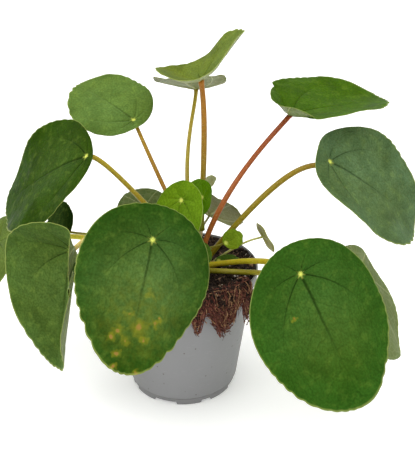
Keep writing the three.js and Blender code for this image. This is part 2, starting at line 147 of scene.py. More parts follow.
def polar(places: np.ndarray) -> tuple[np.ndarray, np.ndarray]:
    """Give the distances of places from the Z axis, and their headings."""
    return np.hypot(places[:, 0], places[:, 1]), np.degrees(np.arctan2(places[:, 0], -places[:, 1]))


def apart(degrees: np.ndarray, middle: float) -> np.ndarray:
    """Give the degrees between headings and a middle one, the shorter way round."""
    return np.abs((degrees - middle + 180) % 360 - 180)


def gone_along(points: np.ndarray) -> np.ndarray:
    """Give the length of a line up to each of its points."""
    return np.concatenate([[0], np.cumsum(np.linalg.norm(np.diff(points, axis=0), axis=1))])


def places_of(bm: BMesh) -> np.ndarray:
    """Give the vertices' places as an array."""
    return np.array([vert.co for vert in bm.verts])


def put(bm: BMesh, places: np.ndarray) -> None:
    """Move the vertices to the places of an array."""
    for vert, place in zip(bm.verts, places):
        vert.co = place


def spun(profile: list[Pair], steps: int) -> BMesh:
    """Spin a profile about Z into a closed body with its faces outwards.

    Args:
        profile: points of radius and height, from the axis back to the axis.
        steps: number of sectors.

    Returns:
        The body.
    """
    bm = bmesh.new()
    verts = [bm.verts.new((radius, 0.0, height)) for radius, height in profile]
    edges = [bm.edges.new(pair) for pair in zip(verts, verts[1:])]
    bmesh.ops.spin(
        bm, geom=verts + edges, cent=(0, 0, 0), axis=(0, 0, 1), angle=math.tau, steps=steps, use_merge=True)
    bmesh.ops.remove_doubles(bm, verts=bm.verts[:], dist=0.001)
    bmesh.ops.recalc_face_normals(bm, faces=bm.faces[:])
    return bm


def extruded(bm: BMesh, edges: list[BMEdge]) -> tuple[list[BMVert], list[BMEdge]]:
    """Extrude a ring of edges.

    Args:
        bm: holds the ring.
        edges: the ring.

    Returns:
        The new ring's vertices and its edges.
    """
    made = bmesh.ops.extrude_edge_only(bm, edges=edges)["geom"]
    ring = [item for item in made if isinstance(item, BMVert)]
    return ring, [item for item in made if isinstance(item, BMEdge)]


def add_lump(
    bm: BMesh, rng: np.random.Generator, place: Vector, size: float,
    long: Pair, flat: Pair, dents: float,
) -> None:
    """Add a small lump, turned, drawn out, flattened and dented at random.

    Args:
        bm: gets the lump.
        rng: draws its form.
        place: its middle.
        size: its radius.
        long: least and greatest length, as shares of the size.
        flat: least and greatest thickness, as shares of the size.
        dents: depth of its dents, as a share of the size.
    """
    turn = Matrix.Rotation(rng.uniform(0, math.tau), 4, Vector(rng.normal(size=3)).normalized())
    shape = Matrix.Diagonal((rng.uniform(*long), rng.uniform(0.6, 1.0), rng.uniform(*flat), 1.0))
    made = bmesh.ops.create_icosphere(
        bm, subdivisions=1, radius=size, matrix=Matrix.Translation(place) @ turn @ shape)
    for vert in made["verts"]:
        vert.co += Vector(rng.uniform(-dents, dents, 3) * size)


def mesh_of(name: str, bm: BMesh) -> Mesh:
    """Turn a bmesh into a mesh, and free it.

    Args:
        name: the mesh's name.
        bm: the bmesh.

    Returns:
        The mesh.
    """
    mesh = bpy.data.meshes.new(name)
    bm.to_mesh(mesh)
    bm.free()
    return mesh


def in_scene(name: str, data: ID) -> Object:
    """Put a mesh, lamp or camera into the scene.

    Args:
        name: the object's name.
        data: the mesh, lamp or camera.

    Returns:
        The object.
    """
    made = bpy.data.objects.new(name, data)
    bpy.context.scene.collection.objects.link(made)
    return made


def finer(profile: list[Pair], step: float) -> list[Pair]:
    """Divide a profile's long stretches.

    Args:
        profile: its corner points.
        step: the longest stretch that is left.

    Returns:
        The corner points with further points between them.
    """
    points = [profile[0]]
    for here, there in zip(profile, profile[1:]):
        count = max(1, math.ceil(math.dist(here, there) / step))
        for part in range(1, count + 1):
            share = part / count
            points.append((here[0] + share * (there[0] - here[0]), here[1] + share * (there[1] - here[1])))
    return points


@dataclass
class Bench:
    """Turns bmeshes in millimetres about the pot's axis into pieces of the model."""

    axis: Vector = field(default_factory=Vector)
    body: str = "root"

    def __post_init__(self) -> None:
        """Find the pot's axis in the frame."""
        low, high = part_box("pot")
        self.axis = Vector(((low[0] + high[0]) / 2, (low[1] + high[1]) / 2, 0.0))

    def to_frame(self, bm: BMesh) -> None:
        """Turn a bmesh from millimetres about the pot's axis into metres in the frame."""
        bmesh.ops.transform(bm, matrix=Matrix.Translation(self.axis) @ Matrix.Scale(MM, 4), verts=bm.verts[:])

    def publish(
        self, bm: BMesh, name: str, finishes: list[Material],
        replaces: tuple[str, ...] = (), tints: np.ndarray | None = None,
    ) -> Object:
        """Make a piece of the model out of a bmesh.

        Args:
            bm: the piece in millimetres; it is freed.
            name: the piece's name.
            finishes: its materials in slot order.
            replaces: the frame's nodes that it stands for.
            tints: one linear colour for each vertex, kept as the attribute Tint.

        Returns:
            The piece's object.
        """
        self.to_frame(bm)
        mesh = mesh_of(name, bm)
        if tints is not None:
            layer = mesh.color_attributes.new("Tint", "FLOAT_COLOR", "POINT")
            layer.data.foreach_set("color", tints.ravel())
        mesh.shade_smooth()
        for finish in finishes:
            mesh.materials.append(finish)
        piece = in_scene(name, mesh)
        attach(piece, self.body)
        if replaces:
            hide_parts(*replaces)
        LOG.info("%s: %d faces", name, len(mesh.polygons))
        return piece


# Finishes


class BladeAge(Enum):
    """How a leaf blade has aged, besides one kind for a leaf painted as in shade."""

    MATURE = "mature"
    YOUNG = "young"
    SPECKLED = "speckled"
    MARKED = "marked"
    # A leaf painted as if in the shade of others: its skin has no sheen, and its tint is near black.
    IN_PAINTED_SHADE = "dull"


@dataclass(frozen=True)
class Coat:
    """A colour that comes to cover the ground as a pattern's value runs from a start to an end."""

    shade: str
    start: float = 0.0
    end: float = 1.0
    cover: float = 1.0
    blend: str = "MIX"
    soft: bool = False

    def lay(self, add: Adder, ground: object, pattern: object) -> Node:
        """Lay the coat over a ground.

        Args:
            add: adds a node to the material.
            ground: the colour below, as a node or as linear RGBA.
            pattern: the node or socket that gives the pattern's value.

        Returns:
            The node that gives the new colour.
        """
        much = add(
            "MapRange", (pattern, self.start, self.end, 0.0, self.cover),
            interpolation_type="SMOOTHSTEP" if self.soft else "LINEAR")
        return add(
            "Mix", {0: much, MIX_A: ground, MIX_B: linear(self.shade)},
            data_type="RGBA", blend_type=self.blend)


@dataclass(frozen=True)
class Finish:
    """A finish of one principled shader, for which each kind of finish works out the inputs."""

    name: str

    def inputs(self, add: Adder) -> dict[str, object]:
        """Give the shader's inputs, none for a plain finish."""
        return {}

    def make(self) -> Material:
        """Make the material.

        Returns:
            The material.
        """
        material = bpy.data.materials.new(self.name)
        material.use_nodes = True
        tree = material.node_tree
        tree.nodes.clear()
        skin = add_node(tree, "BsdfPrincipled", self.inputs(partial(add_node, tree)))
        add_node(tree, "OutputMaterial", {"Surface": skin})
        return material


def vein_lines(add: Adder, core: float, edge: float) -> tuple[object, ...]:
    """Read a blade's UV maps and draw its main veins.

    Args:
        add: adds a node to the material.
        core: half width of a vein's full line, where a unit is some 35 mm at the margin.
        edge: half width out to which it fades.

    Returns:
        Flat coordinates in millimetres, the share of the way from the hub to the margin, the distance to the
        nearest main vein in vein coordinates, and the veins' mask.
    """
    veins = add("SeparateXYZ", (add("UVMap", uv_map="Veins"),))
    flat = add("UVMap", uv_map="Plane")
    plane = add("VectorMath", {0: flat, "Scale": 1 / MM}, operation="SCALE")
    share = veins.outputs["Y"]
    aside = add("Math", (veins.outputs["X"], 0.5), operation="PINGPONG")
    reach = add("Math", (aside, share), operation="MULTIPLY")
    main = add("MapRange", (reach, core, edge, 1.0, 0.0), interpolation_type="SMOOTHSTEP")
    return plane, share, aside, main


@dataclass(frozen=True)
class BladeUpperSkin(Finish):
    """Waxed upper skin of a leaf: satin, softly mottled, with fine dark veins and a thin pale margin."""

    # Strengths of the mottling, the painted sheen and the veins, and the radius of the hub's dot in
    # millimetres.
    mottle: float = 0.44
    painted_sheen: float = 0.1
    veins: float = 0.6
    dot: float = 1.5
    # Dry spots, each with its place and size in millimetres, and how much a leaf with spots yellows.
    spots: tuple[Triple, ...] = ()
    yellowing: float = 0.34
    roughness: float = 0.46
    sheen: float = 0.05
    margin: str = "#a3af5e"
    hub: str = "#d3dc66"
    scorch: str = "#917238"
    yellow: str = "#7d7d1f"
    # Colour of the low sheen of the wax.
    slant: str = "#edffaa"

    def ground(self, add: Adder, plane: Node) -> Node:
        """Mix the ground colour out of the leaf's tint, a painted sheen and its mottling.

        Args:
            add: adds a node to the material.
            plane: flat coordinates in millimetres.

        Returns:
            The node that gives the colour.
        """
        colour = add("Attribute", attribute_name="Tint")
        # A painted sheen: a pale grey-green band some 30 mm out from the hub, painted on for the soft
        # reflection there.
        away = add("VectorMath", (plane, (30.0, 0.0, 0.0)), operation="DISTANCE")
        painted_sheen = Coat("#87a564", 58.0, 4.0, self.painted_sheen, soft=True)
        colour = painted_sheen.lay(add, colour, away.outputs["Value"])
        # Mottling: the size of each pattern in millimetres, its detail and its coat.
        for size, detail, coat in (
            (42.0, 1.0, Coat("#d9cf8a", 0.35, 0.65, self.mottle, "MULTIPLY")),
            (18.0, 3.0, Coat("#99a78c", 0.62, 0.36, self.mottle, "MULTIPLY")),
            (7.0, 2.0, Coat("#4a5520", 0.52, 0.72, self.mottle, "ADD")),
            (1.6, 2.0, Coat("#b9bfa6", 0.38, 0.62, 0.5, "MULTIPLY")),
        ):
            pattern = add("TexNoise", {"Vector": plane, "Scale": 1 / size, "Detail": detail})
            colour = coat.lay(add, colour, pattern)
        return colour

    def scorched(self, add: Adder, plane: Node, colour: Node) -> Node:
        """Yellow the leaf in soft patches and scorch its dry spots.

        Args:
            add: adds a node to the material.
            plane: flat coordinates in millimetres.
            colour: the colour below.

        Returns:
            The node that gives the new colour.
        """
        # The patches of about 5 mm are thickest round a point 52 mm out from the hub.
        away = add("VectorMath", (plane, (52.0, 2.0, 0.0)), operation="DISTANCE")
        near = add(
            "MapRange", (away.outputs["Value"], 8.0, 42.0, 1.0, 0.08),
            interpolation_type="SMOOTHSTEP")
        worn = add("TexNoise", {"Vector": plane, "Scale": 1 / 5, "Detail": 3.0})
        worn = add("MapRange", (worn, 0.38, 0.78, 0.05, self.yellowing))
        worn = add("Math", (worn, near), operation="MULTIPLY")
        colour = Coat(self.yellow).lay(add, colour, worn)
        # Each dry spot is ragged, some 2 to 5 mm wide, in a yellowed halo.
        ragged = add("TexNoise", {"Vector": plane, "Scale": 1 / 4, "Detail": 1.5})
        ragged = add("Math", (ragged, 5.0, -2.5), operation="MULTIPLY_ADD")
        for reach, shade, cover in ((3.0, self.yellow, 0.55), (1.0, self.scorch, 0.85)):
            for along, across, size in self.spots:
                away = add("VectorMath", (plane, (along, across, 0.0)), operation="DISTANCE")
                away = add("Math", (ragged, reach ** 0.6, away.outputs["Value"]), operation="MULTIPLY_ADD")
                colour = Coat(shade, size * reach, 0.3 * size * reach, cover).lay(add, colour, away)
        return colour

    def inputs(self, add: Adder) -> dict[str, object]:
        """Draw the veins, the hub and the margin over the ground.

        Args:
            add: adds a node to the material.

        Returns:
            The shader's inputs, which read the UV maps Veins and Plane and the attribute Tint.
        """
        # Main veins are about 0.8 mm wide and fade towards the margin.
        plane, share, aside, main = vein_lines(add, 0.001, 0.017)
        colour = self.ground(add, plane)
        if self.spots:
            colour = self.scorched(add, plane, colour)
        fade = add("MapRange", (share, 0.1, 0.72, 1.0, 0.16), interpolation_type="SMOOTHSTEP")
        main = add("Math", (main, fade), operation="MULTIPLY")
        # Side veins slant off the main ones every 6 mm or so, and a net of 4 mm meshes lies between them.
        patches = add("TexNoise", {"Vector": plane, "Scale": 1 / 18, "Detail": 3.0})
        wander = add("TexNoise", {"Vector": plane, "Scale": 1 / 9, "Detail": 1.0})
        slant = add("Math", (aside, -0.6, share), operation="MULTIPLY_ADD")
        slant = add("Math", (wander, 0.22, slant), operation="MULTIPLY_ADD")
        slant = add("Math", (slant, 8.0), operation="MULTIPLY")
        ticks = add("Math", (slant, 0.5), operation="PINGPONG")
        side = add("MapRange", (ticks, 0.03, 0.14, 1.0, 0.0), interpolation_type="SMOOTHSTEP")
        side = add("Math", (side, patches), operation="MULTIPLY")
        net = add("TexVoronoi", {"Vector": plane, "Scale": 1 / 4}, feature="DISTANCE_TO_EDGE")
        colour = Coat("#5f6c52", cover=self.veins, blend="MULTIPLY").lay(add, colour, main)
        colour = Coat("#9aa38a", cover=0.5 * self.veins, blend="MULTIPLY").lay(add, colour, side)
        # The hub is a small yellow dot, with pale rays along the first 4 mm of each vein.
        away = add("VectorMath", (plane,), operation="LENGTH").outputs["Value"]
        dot = add("MapRange", (away, 0.6 * self.dot, 1.6 * self.dot, 1.0, 0.0))
        rays = add("MapRange", (away, self.dot, 2.8 * self.dot, 0.6, 0.0))
        rays = add("Math", (rays, main), operation="MULTIPLY")
        rays = add("Math", (rays, dot), operation="MAXIMUM")
        colour = Coat(self.hub).lay(add, colour, rays)
        colour = Coat(self.margin, 0.98, 0.995, 0.55).lay(add, colour, share)
        height = add("Math", (main, -1.0, net), operation="MULTIPLY_ADD")
        height = add("Math", (side, -0.6, height), operation="MULTIPLY_ADD")
        gloss = add("MapRange", (patches, 0.3, 0.7, self.roughness - 0.05, self.roughness + 0.09))
        # A low sheen of a yellow green keeps the wax from greying where it is seen at a slant.
        return {
            "Base Color": colour, "Roughness": gloss, "IOR": 1.33,
            "Normal": add("Bump", {"Strength": 0.5, "Distance": 0.5 * MM, "Height": height}),
            "Specular IOR Level": self.sheen, "Specular Tint": linear(self.slant),
            "Subsurface Weight": 0.05, "Subsurface Scale": MM,
        }


@dataclass(frozen=True)
class BladeUnderSkin(Finish):
    """Underside of a leaf: paler, greyer and duller than the top, with raised light veins and a fine net."""

    pale: str = "#7c8656"
    lines: str = "#bfc48f"
    # How far the tint is paled.
    amount: float = 0.6
    roughness: float = 0.5

    def inputs(self, add: Adder) -> dict[str, object]:
        """Pale the leaf's tint and draw the ribs and the net on it.

        Args:
            add: adds a node to the material.

        Returns:
            The shader's inputs, which read the UV maps Veins and Plane and the attribute Tint.
        """
        plane, _, _, main = vein_lines(add, 0.008, 0.03)
        # The net of small veins has meshes of about 5 mm.
        net = add("TexVoronoi", {"Vector": plane, "Scale": 1 / 5}, feature="DISTANCE_TO_EDGE")
        threads = add("MapRange", (net, 0.02, 0.1, 1.0, 0.0))
        patches = add("TexNoise", {"Vector": plane, "Scale": 1 / 14, "Detail": 3.0})
        cover = add("MapRange", (patches, 0.3, 0.7, self.amount - 0.12, self.amount + 0.12))
        tint = add("Attribute", attribute_name="Tint")
        colour = Coat(self.pale).lay(add, tint, cover)
        colour = Coat(self.lines, cover=0.4).lay(add, colour, main)
        colour = Coat(self.lines, cover=0.14).lay(add, colour, threads)
        height = add("Math", (threads, 0.4, main), operation="MULTIPLY_ADD")
        return {
            "Base Color": colour, "Roughness": self.roughness, "IOR": 1.33,
            "Normal": add("Bump", {"Strength": 0.5, "Distance": 0.4 * MM, "Height": height}),
            "Specular IOR Level": 0.15, "Subsurface Weight": 0.08, "Subsurface Scale": MM,
        }


@dataclass(frozen=True)
class StalkSkin(Finish):
    """Smooth fleshy leaf stalk: satin, faintly streaked along its length, greener towards one end."""

    name: str = "fleshy_stalk_skin"
    roughness: float = 0.36

    def inputs(self, add: Adder) -> dict[str, object]:
        """Cloud the stalk's tint and strew light specks on it.

        Args:
            add: adds a node to the material.

        Returns:
            The shader's inputs, which read the attribute Tint.
        """
        place = add("TexCoord").outputs["Object"]
        # Streaks of about 2.5 mm and specks of 0.8 mm.
        clouds = add("TexNoise", {"Vector": place, "Scale": 1000 / 2.5, "Detail": 2.0})
        specks = add("TexNoise", {"Vector": place, "Scale": 1000 / 0.8, "Detail": 1.0})
        tint = add("Attribute", attribute_name="Tint")
        colour = Coat("#b59a86", 0.45, 0.75, 0.3, "MULTIPLY").lay(add, tint, clouds)
        colour = Coat("#d3c48c", 0.6, 0.75, 0.3).lay(add, colour, specks)
        return {
            "Base Color": colour, "Roughness": self.roughness, "IOR": 1.42,
            "Normal": add("Bump", {"Strength": 0.3, "Distance": 0.2 * MM, "Height": clouds}),
            "Specular IOR Level": 0.35, "Subsurface Weight": 0.1, "Subsurface Scale": MM,
        }


@dataclass(frozen=True)
class Grain(Finish):
    """Matt natural matter in two tones, such as peat, bark, coir or perlite."""

    light: str
    dark: str
    # Sizes of the patches and of the grit, in millimetres, as is the bump's height.
    patch: float
    grit: float
    roughness: float = 0.9
    bump: float = 0.3

    def inputs(self, add: Adder) -> dict[str, object]:
        """Mix the two tones in patches and grit.

        Args:
            add: adds a node to the material.

        Returns:
            The shader's inputs, which read Object coordinates.
        """
        place = add("TexCoord").outputs["Object"]
        patches = add("TexNoise", {"Vector": place, "Scale": 1000 / self.patch, "Detail": 4.0})
        grit = add("TexNoise", {"Vector": place, "Scale": 1000 / self.grit, "Detail": 3.0})
        both = add("Math", (patches, 0.6), operation="MULTIPLY")
        both = add("Math", (grit, 0.4, both), operation="MULTIPLY_ADD")
        return {
            "Base Color": Coat(self.light, 0.36, 0.64).lay(add, linear(self.dark), both),
            "Normal": add("Bump", {"Strength": 0.8, "Distance": self.bump * MM, "Height": grit}),
            "Roughness": self.roughness, "Specular IOR Level": 0.25,
        }


@dataclass(frozen=True)
class PotPlastic(Finish):
    """Recycled polypropylene, thermoformed: matt mid grey, a fine orange-peel skin, faint scuffs and dust."""

    name: str = "recycled_polypropylene_grey"
    base: str = "#828283"
    cloud: str = "#7b7b7c"
    scuff: str = "#969696"
    soiled: str = "#6f6862"
    # Darker grey for the foot ring, and painted shade for the crease over it.
    darker_foot_and_painted_shade: str = "#575553"
    peat: str = "#4c4038"
    roughness: float = 0.5

    def inputs(self, add: Adder) -> dict[str, object]:
        """Cloud and scuff the grey, and soil it at the lip, at the foot and in single grains.

        Args:
            add: adds a node to the material.

        Returns:
            The shader's inputs, which read Object coordinates.
        """
        place = add("TexCoord").outputs["Object"]
        high = add("SeparateXYZ", (place,)).outputs["Z"]
        # Cloudy tone over 30 mm, scuffs some 6 mm long and pores of 0.9 mm.
        clouds = add("TexNoise", {"Vector": place, "Scale": 1000 / 30.3, "Detail": 2.0})
        flat = add("Mapping", {"Vector": place, "Scale": (1.0, 1.0, 4.0)})
        marks = add("TexNoise", {"Vector": flat, "Scale": 1000 / 6.25, "Detail": 4.0})
        pores = add("TexNoise", {"Vector": place, "Scale": 1000 / 0.909, "Detail": 2.0})
        colour = Coat(self.cloud, 0.3, 0.7, 0.35).lay(add, linear(self.base), clouds)
        colour = Coat(self.scuff, 0.6, 0.78, 0.4).lay(add, colour, marks)
        # Splashed soil clings to the inside and the lip, and thins out down the wall.
        rim = add("MapRange", (high, 85 * MM, 106 * MM))
        dirt = add("MapRange", (marks, 0.5, 0.66, 0.0, 0.35))
        dirt = add("Math", (dirt, rim), operation="MULTIPLY")
        colour = Coat(self.soiled).lay(add, colour, dirt)
        # The foot ring is drawn a little darker, and painted shade darkens the crease over it, 6.4 mm up.
        foot = add("MapRange", (high, 5.8 * MM, 6.6 * MM, 0.2, 0.0))
        painted_crease_shade = add("Math", (high, 6.4 * MM), operation="SUBTRACT")
        painted_crease_shade = add("Math", (painted_crease_shade,), operation="ABSOLUTE")
        painted_crease_shade = add("MapRange", (painted_crease_shade, 0.3 * MM, 1.1 * MM, 1.6, 0.0))
        painted_crease_shade = add("Math", (painted_crease_shade, marks), operation="MULTIPLY")
        foot = add("Math", (painted_crease_shade, foot), operation="ADD", use_clamp=True)
        colour = Coat(self.darker_foot_and_painted_shade).lay(add, colour, foot)
        # Grains of peat of about 1 mm stick here and there, in one of six cells of 4 mm.
        cells = add("TexVoronoi", {"Vector": place, "Scale": 1000 / 4.1667})
        rare = add("SeparateXYZ", (cells.outputs["Color"],)).outputs["X"]
        rare = add("Math", (rare, 0.84), operation="GREATER_THAN")
        grains = add("MapRange", (cells.outputs["Distance"], 0.1, 0.19, 0.8, 0.0))
        grains = add("Math", (grains, rare), operation="MULTIPLY")
        gloss = add("MapRange", (marks, 0.3, 0.7, self.roughness - 0.06, self.roughness + 0.1))
        return {
            "Base Color": Coat(self.peat).lay(add, colour, grains), "Roughness": gloss, "IOR": 1.49,
            "Normal": add("Bump", {"Strength": 0.35, "Distance": 0.15 * MM, "Height": pores}),
        }


@dataclass(frozen=True)
class StudioPaper(Finish):
    """Seamless white paper on a light table: even, matt, lit from below so that shadows stay faint."""

    name: str = "seamless_white_paper"
    white: str = "#fbfbfb"
    fibres: str = "#f7f7f6"
    glow: float = 0.26

    def inputs(self, add: Adder) -> dict[str, object]:
        """Give the paper fibres of 2 mm and its faint light.

        Args:
            add: adds a node to the material.

        Returns:
            The shader's inputs, which read Object coordinates.
        """
        place = add("TexCoord").outputs["Object"]
        fibre = add("TexNoise", {"Vector": place, "Scale": 1000 / 2})
        return {
            "Base Color": Coat(self.fibres).lay(add, linear(self.white), fibre), "Roughness": 0.95,
            "Specular IOR Level": 0.1, "Emission Color": linear("#ffffff"), "Emission Strength": self.glow,
        }


# Nursery pot


@dataclass
class NurseryPot:
    """Tapered plastic pot with a rim band, a foot ring with slots, and drain holes."""

    height: float = 104.0
    # Radius of the wall under the rim band, and radius and height that bound the foot ring's lower part.
    wall_top: float = 56.7
    foot_inside: float = 41.0
    foot_height: float = 3.4
    steps: int = 360
    # Slots in the foot ring: their headings, half width in degrees, and height.
    wide_slots: tuple[tuple[float, ...], float, float] = ((-21.0, 69.0, 159.0, 249.0), 12.2, 3.0)
    narrow_slots: tuple[tuple[float, ...], float, float] = ((24.0, 114.0, 204.0, 294.0), 5.2, 2.5)
    # How oval the rim is, as a share of its radius.
    warp: float = 0.0025
    # Drain holes: the radius of their ring, their own radius, and how many.
    drain_ring: float = 28.0
    drain_radius: float = 3.5
    drains: int = 6

    def profile(self) -> list[Pair]:
        """Give the closed wall's profile of radius and height."""
        foot_ring = [
            (0.0, 4.0), (40.7, 4.0), (41.2, 3.5), (41.2, 0.4), (41.6, 0.0), (42.6, 0.0), (43.0, 0.4),
            (43.5, 5.6), (43.5, 6.2), (43.8, 6.5), (44.5, 6.8), (44.7, 7.4),
        ]
        rim_band = [
            (self.wall_top - 0.3, 93.2), (self.wall_top + 0.3, 94.2), (58.9, 94.3), (59.3, 94.7),
            (59.7, 98.5), (60.0, 102.6), (59.9, 103.5), (59.4, self.height), (58.9, 103.9), (58.5, 103.3),
            (58.2, 97.4), (57.8, 96.6),
        ]
        return foot_ring + rim_band + [(55.5, 95.2), (43.5, 8.0), (42.6, 6.2), (41.2, 5.4), (0.0, 5.4)]

    def build(self) -> BMesh:
        """Spin the wall, notch the foot and warp the sheet a little.

        Returns:
            The pot without its drain holes.
        """
        bm = spun(finer(self.profile(), 3.0), self.steps)
        places = places_of(bm)
        radius, degrees = polar(places)
        foot = (places[:, 2] < self.foot_height) & (radius > self.foot_inside)
        for headings, half, top in (self.wide_slots, self.narrow_slots):
            for middle in headings:
                within = foot & (apart(degrees, middle) < half) & (places[:, 2] < top)
                places[within, 2] = top + 0.02 * places[within, 2]
        # The rim is a little oval, the floor isn't.
        oval = self.warp * np.sin(2 * np.radians(degrees) + 0.7) * np.clip(places[:, 2] / self.height, 0, 1)
        places[:, :2] *= np.where(radius > 30, 1 + oval, 1.0)[:, None]
        put(bm, places)
        return bm

    def drill(self, piece: Object, bench: Bench) -> None:
        """Cut the drain holes through the floor.

        Args:
            piece: the pot's object.
            bench: knows where the pot stands.
        """
        bm = bmesh.new()
        for index in range(self.drains):
            turn = Matrix.Rotation(index * math.tau / self.drains, 4, "Z")
            bmesh.ops.create_cone(
                bm, cap_ends=True, segments=24, radius1=self.drain_radius, radius2=self.drain_radius,
                depth=8.0, matrix=turn @ Matrix.Translation((self.drain_ring, 0.0, 4.7)))
        bench.to_frame(bm)
        mesh = mesh_of("drain_cutter", bm)
        cutter = in_scene("drain_cutter", mesh)
        cut = piece.modifiers.new("drains", "BOOLEAN")
        cut.object = cutter
        cut.solver = "EXACT"
        bpy.context.view_layer.update()
        drilled = bpy.data.meshes.new_from_object(piece.evaluated_get(bpy.context.evaluated_depsgraph_get()))
        piece.modifiers.clear()
        old, piece.data = piece.data, drilled
        bpy.data.meshes.remove(old)
        bpy.data.objects.remove(cutter)
        bpy.data.meshes.remove(mesh)

    def dress(self, bench: Bench) -> None:
        """Publish the pot with its finish.

        Args:
            bench: where pieces are made.
        """
        piece = bench.publish(self.build(), "pot_wall", [PotPlastic().make()], ("pot",))
        self.drill(piece, bench)


# Trunk

# The trunk stands right of the pot's axis.
TRUNK_PLACE = (13.0, 0.0)


@dataclass
class Trunk:
    """Short woody trunk with the scars and dry scales of shed leaves."""

    place: Pair = TRUNK_PLACE
    radius: float = 6.0
    # Leaf scars: how many, the levels of the lowest and the last, and half their width and height.
    scars: int = 30
    levels: Pair = (84.0, 122.0)
    scar_size: Pair = (2.6, 1.5)
    steps: int = 48

    def build(self) -> BMesh:
        """Spin the trunk and press the leaf scars into it.

        Returns:
            The trunk.
        """
        profile = [
            (0, 80), (6.6, 80), (6.6, 96.4), (6.0, 112), (5.0, 122.4), (3.6, 124.6), (1.6, 125.4), (0, 125.5)]
        bm = spun(finer(profile, 0.9), self.steps)
        places = places_of(bm)
        radius, degrees = polar(places)
        wide, high = self.scar_size
        lowest, last = self.levels
        bulge = np.zeros(len(places))
        # Each scar has a raised edge round a sunken middle, and faint rings and rough bark lie between.
        for index in range(self.scars):
            level = lowest + (last - lowest) * index / self.scars
            aside = np.radians(apart(degrees, GOLDEN_ANGLE * index)) * self.radius
            away = np.hypot(aside / wide, (places[:, 2] - level) / high)
            bulge += 0.55 * np.exp(-((away - 1.0) / 0.35) ** 2) - 0.4 * np.exp(-(away / 0.6) ** 2)
        bulge += 0.15 * np.sin(places[:, 2] * 2.3)
        bulge += relief(places, 3.0, 0.35, 4)
        grow = 1 + np.where(radius > 2.0, bulge / np.maximum(radius, 1), 0.0)
        places[:, :2] = places[:, :2] * grow[:, None] + self.place
        put(bm, places)
        return bm

    def dress(self, bench: Bench) -> None:
        """Publish the trunk.

        Args:
            bench: where pieces are made.
        """
        # Corky bark: dull brown, flaking in patches of 4 mm, gritty at half a millimetre.
        bark = Grain("corky_bark", "#8a6b4a", "#3a2718", 4.0, 0.6, 0.85, 0.4)
        bench.publish(self.build(), "trunk_bark", [bark.make()], ("trunk",))


# Potting soil


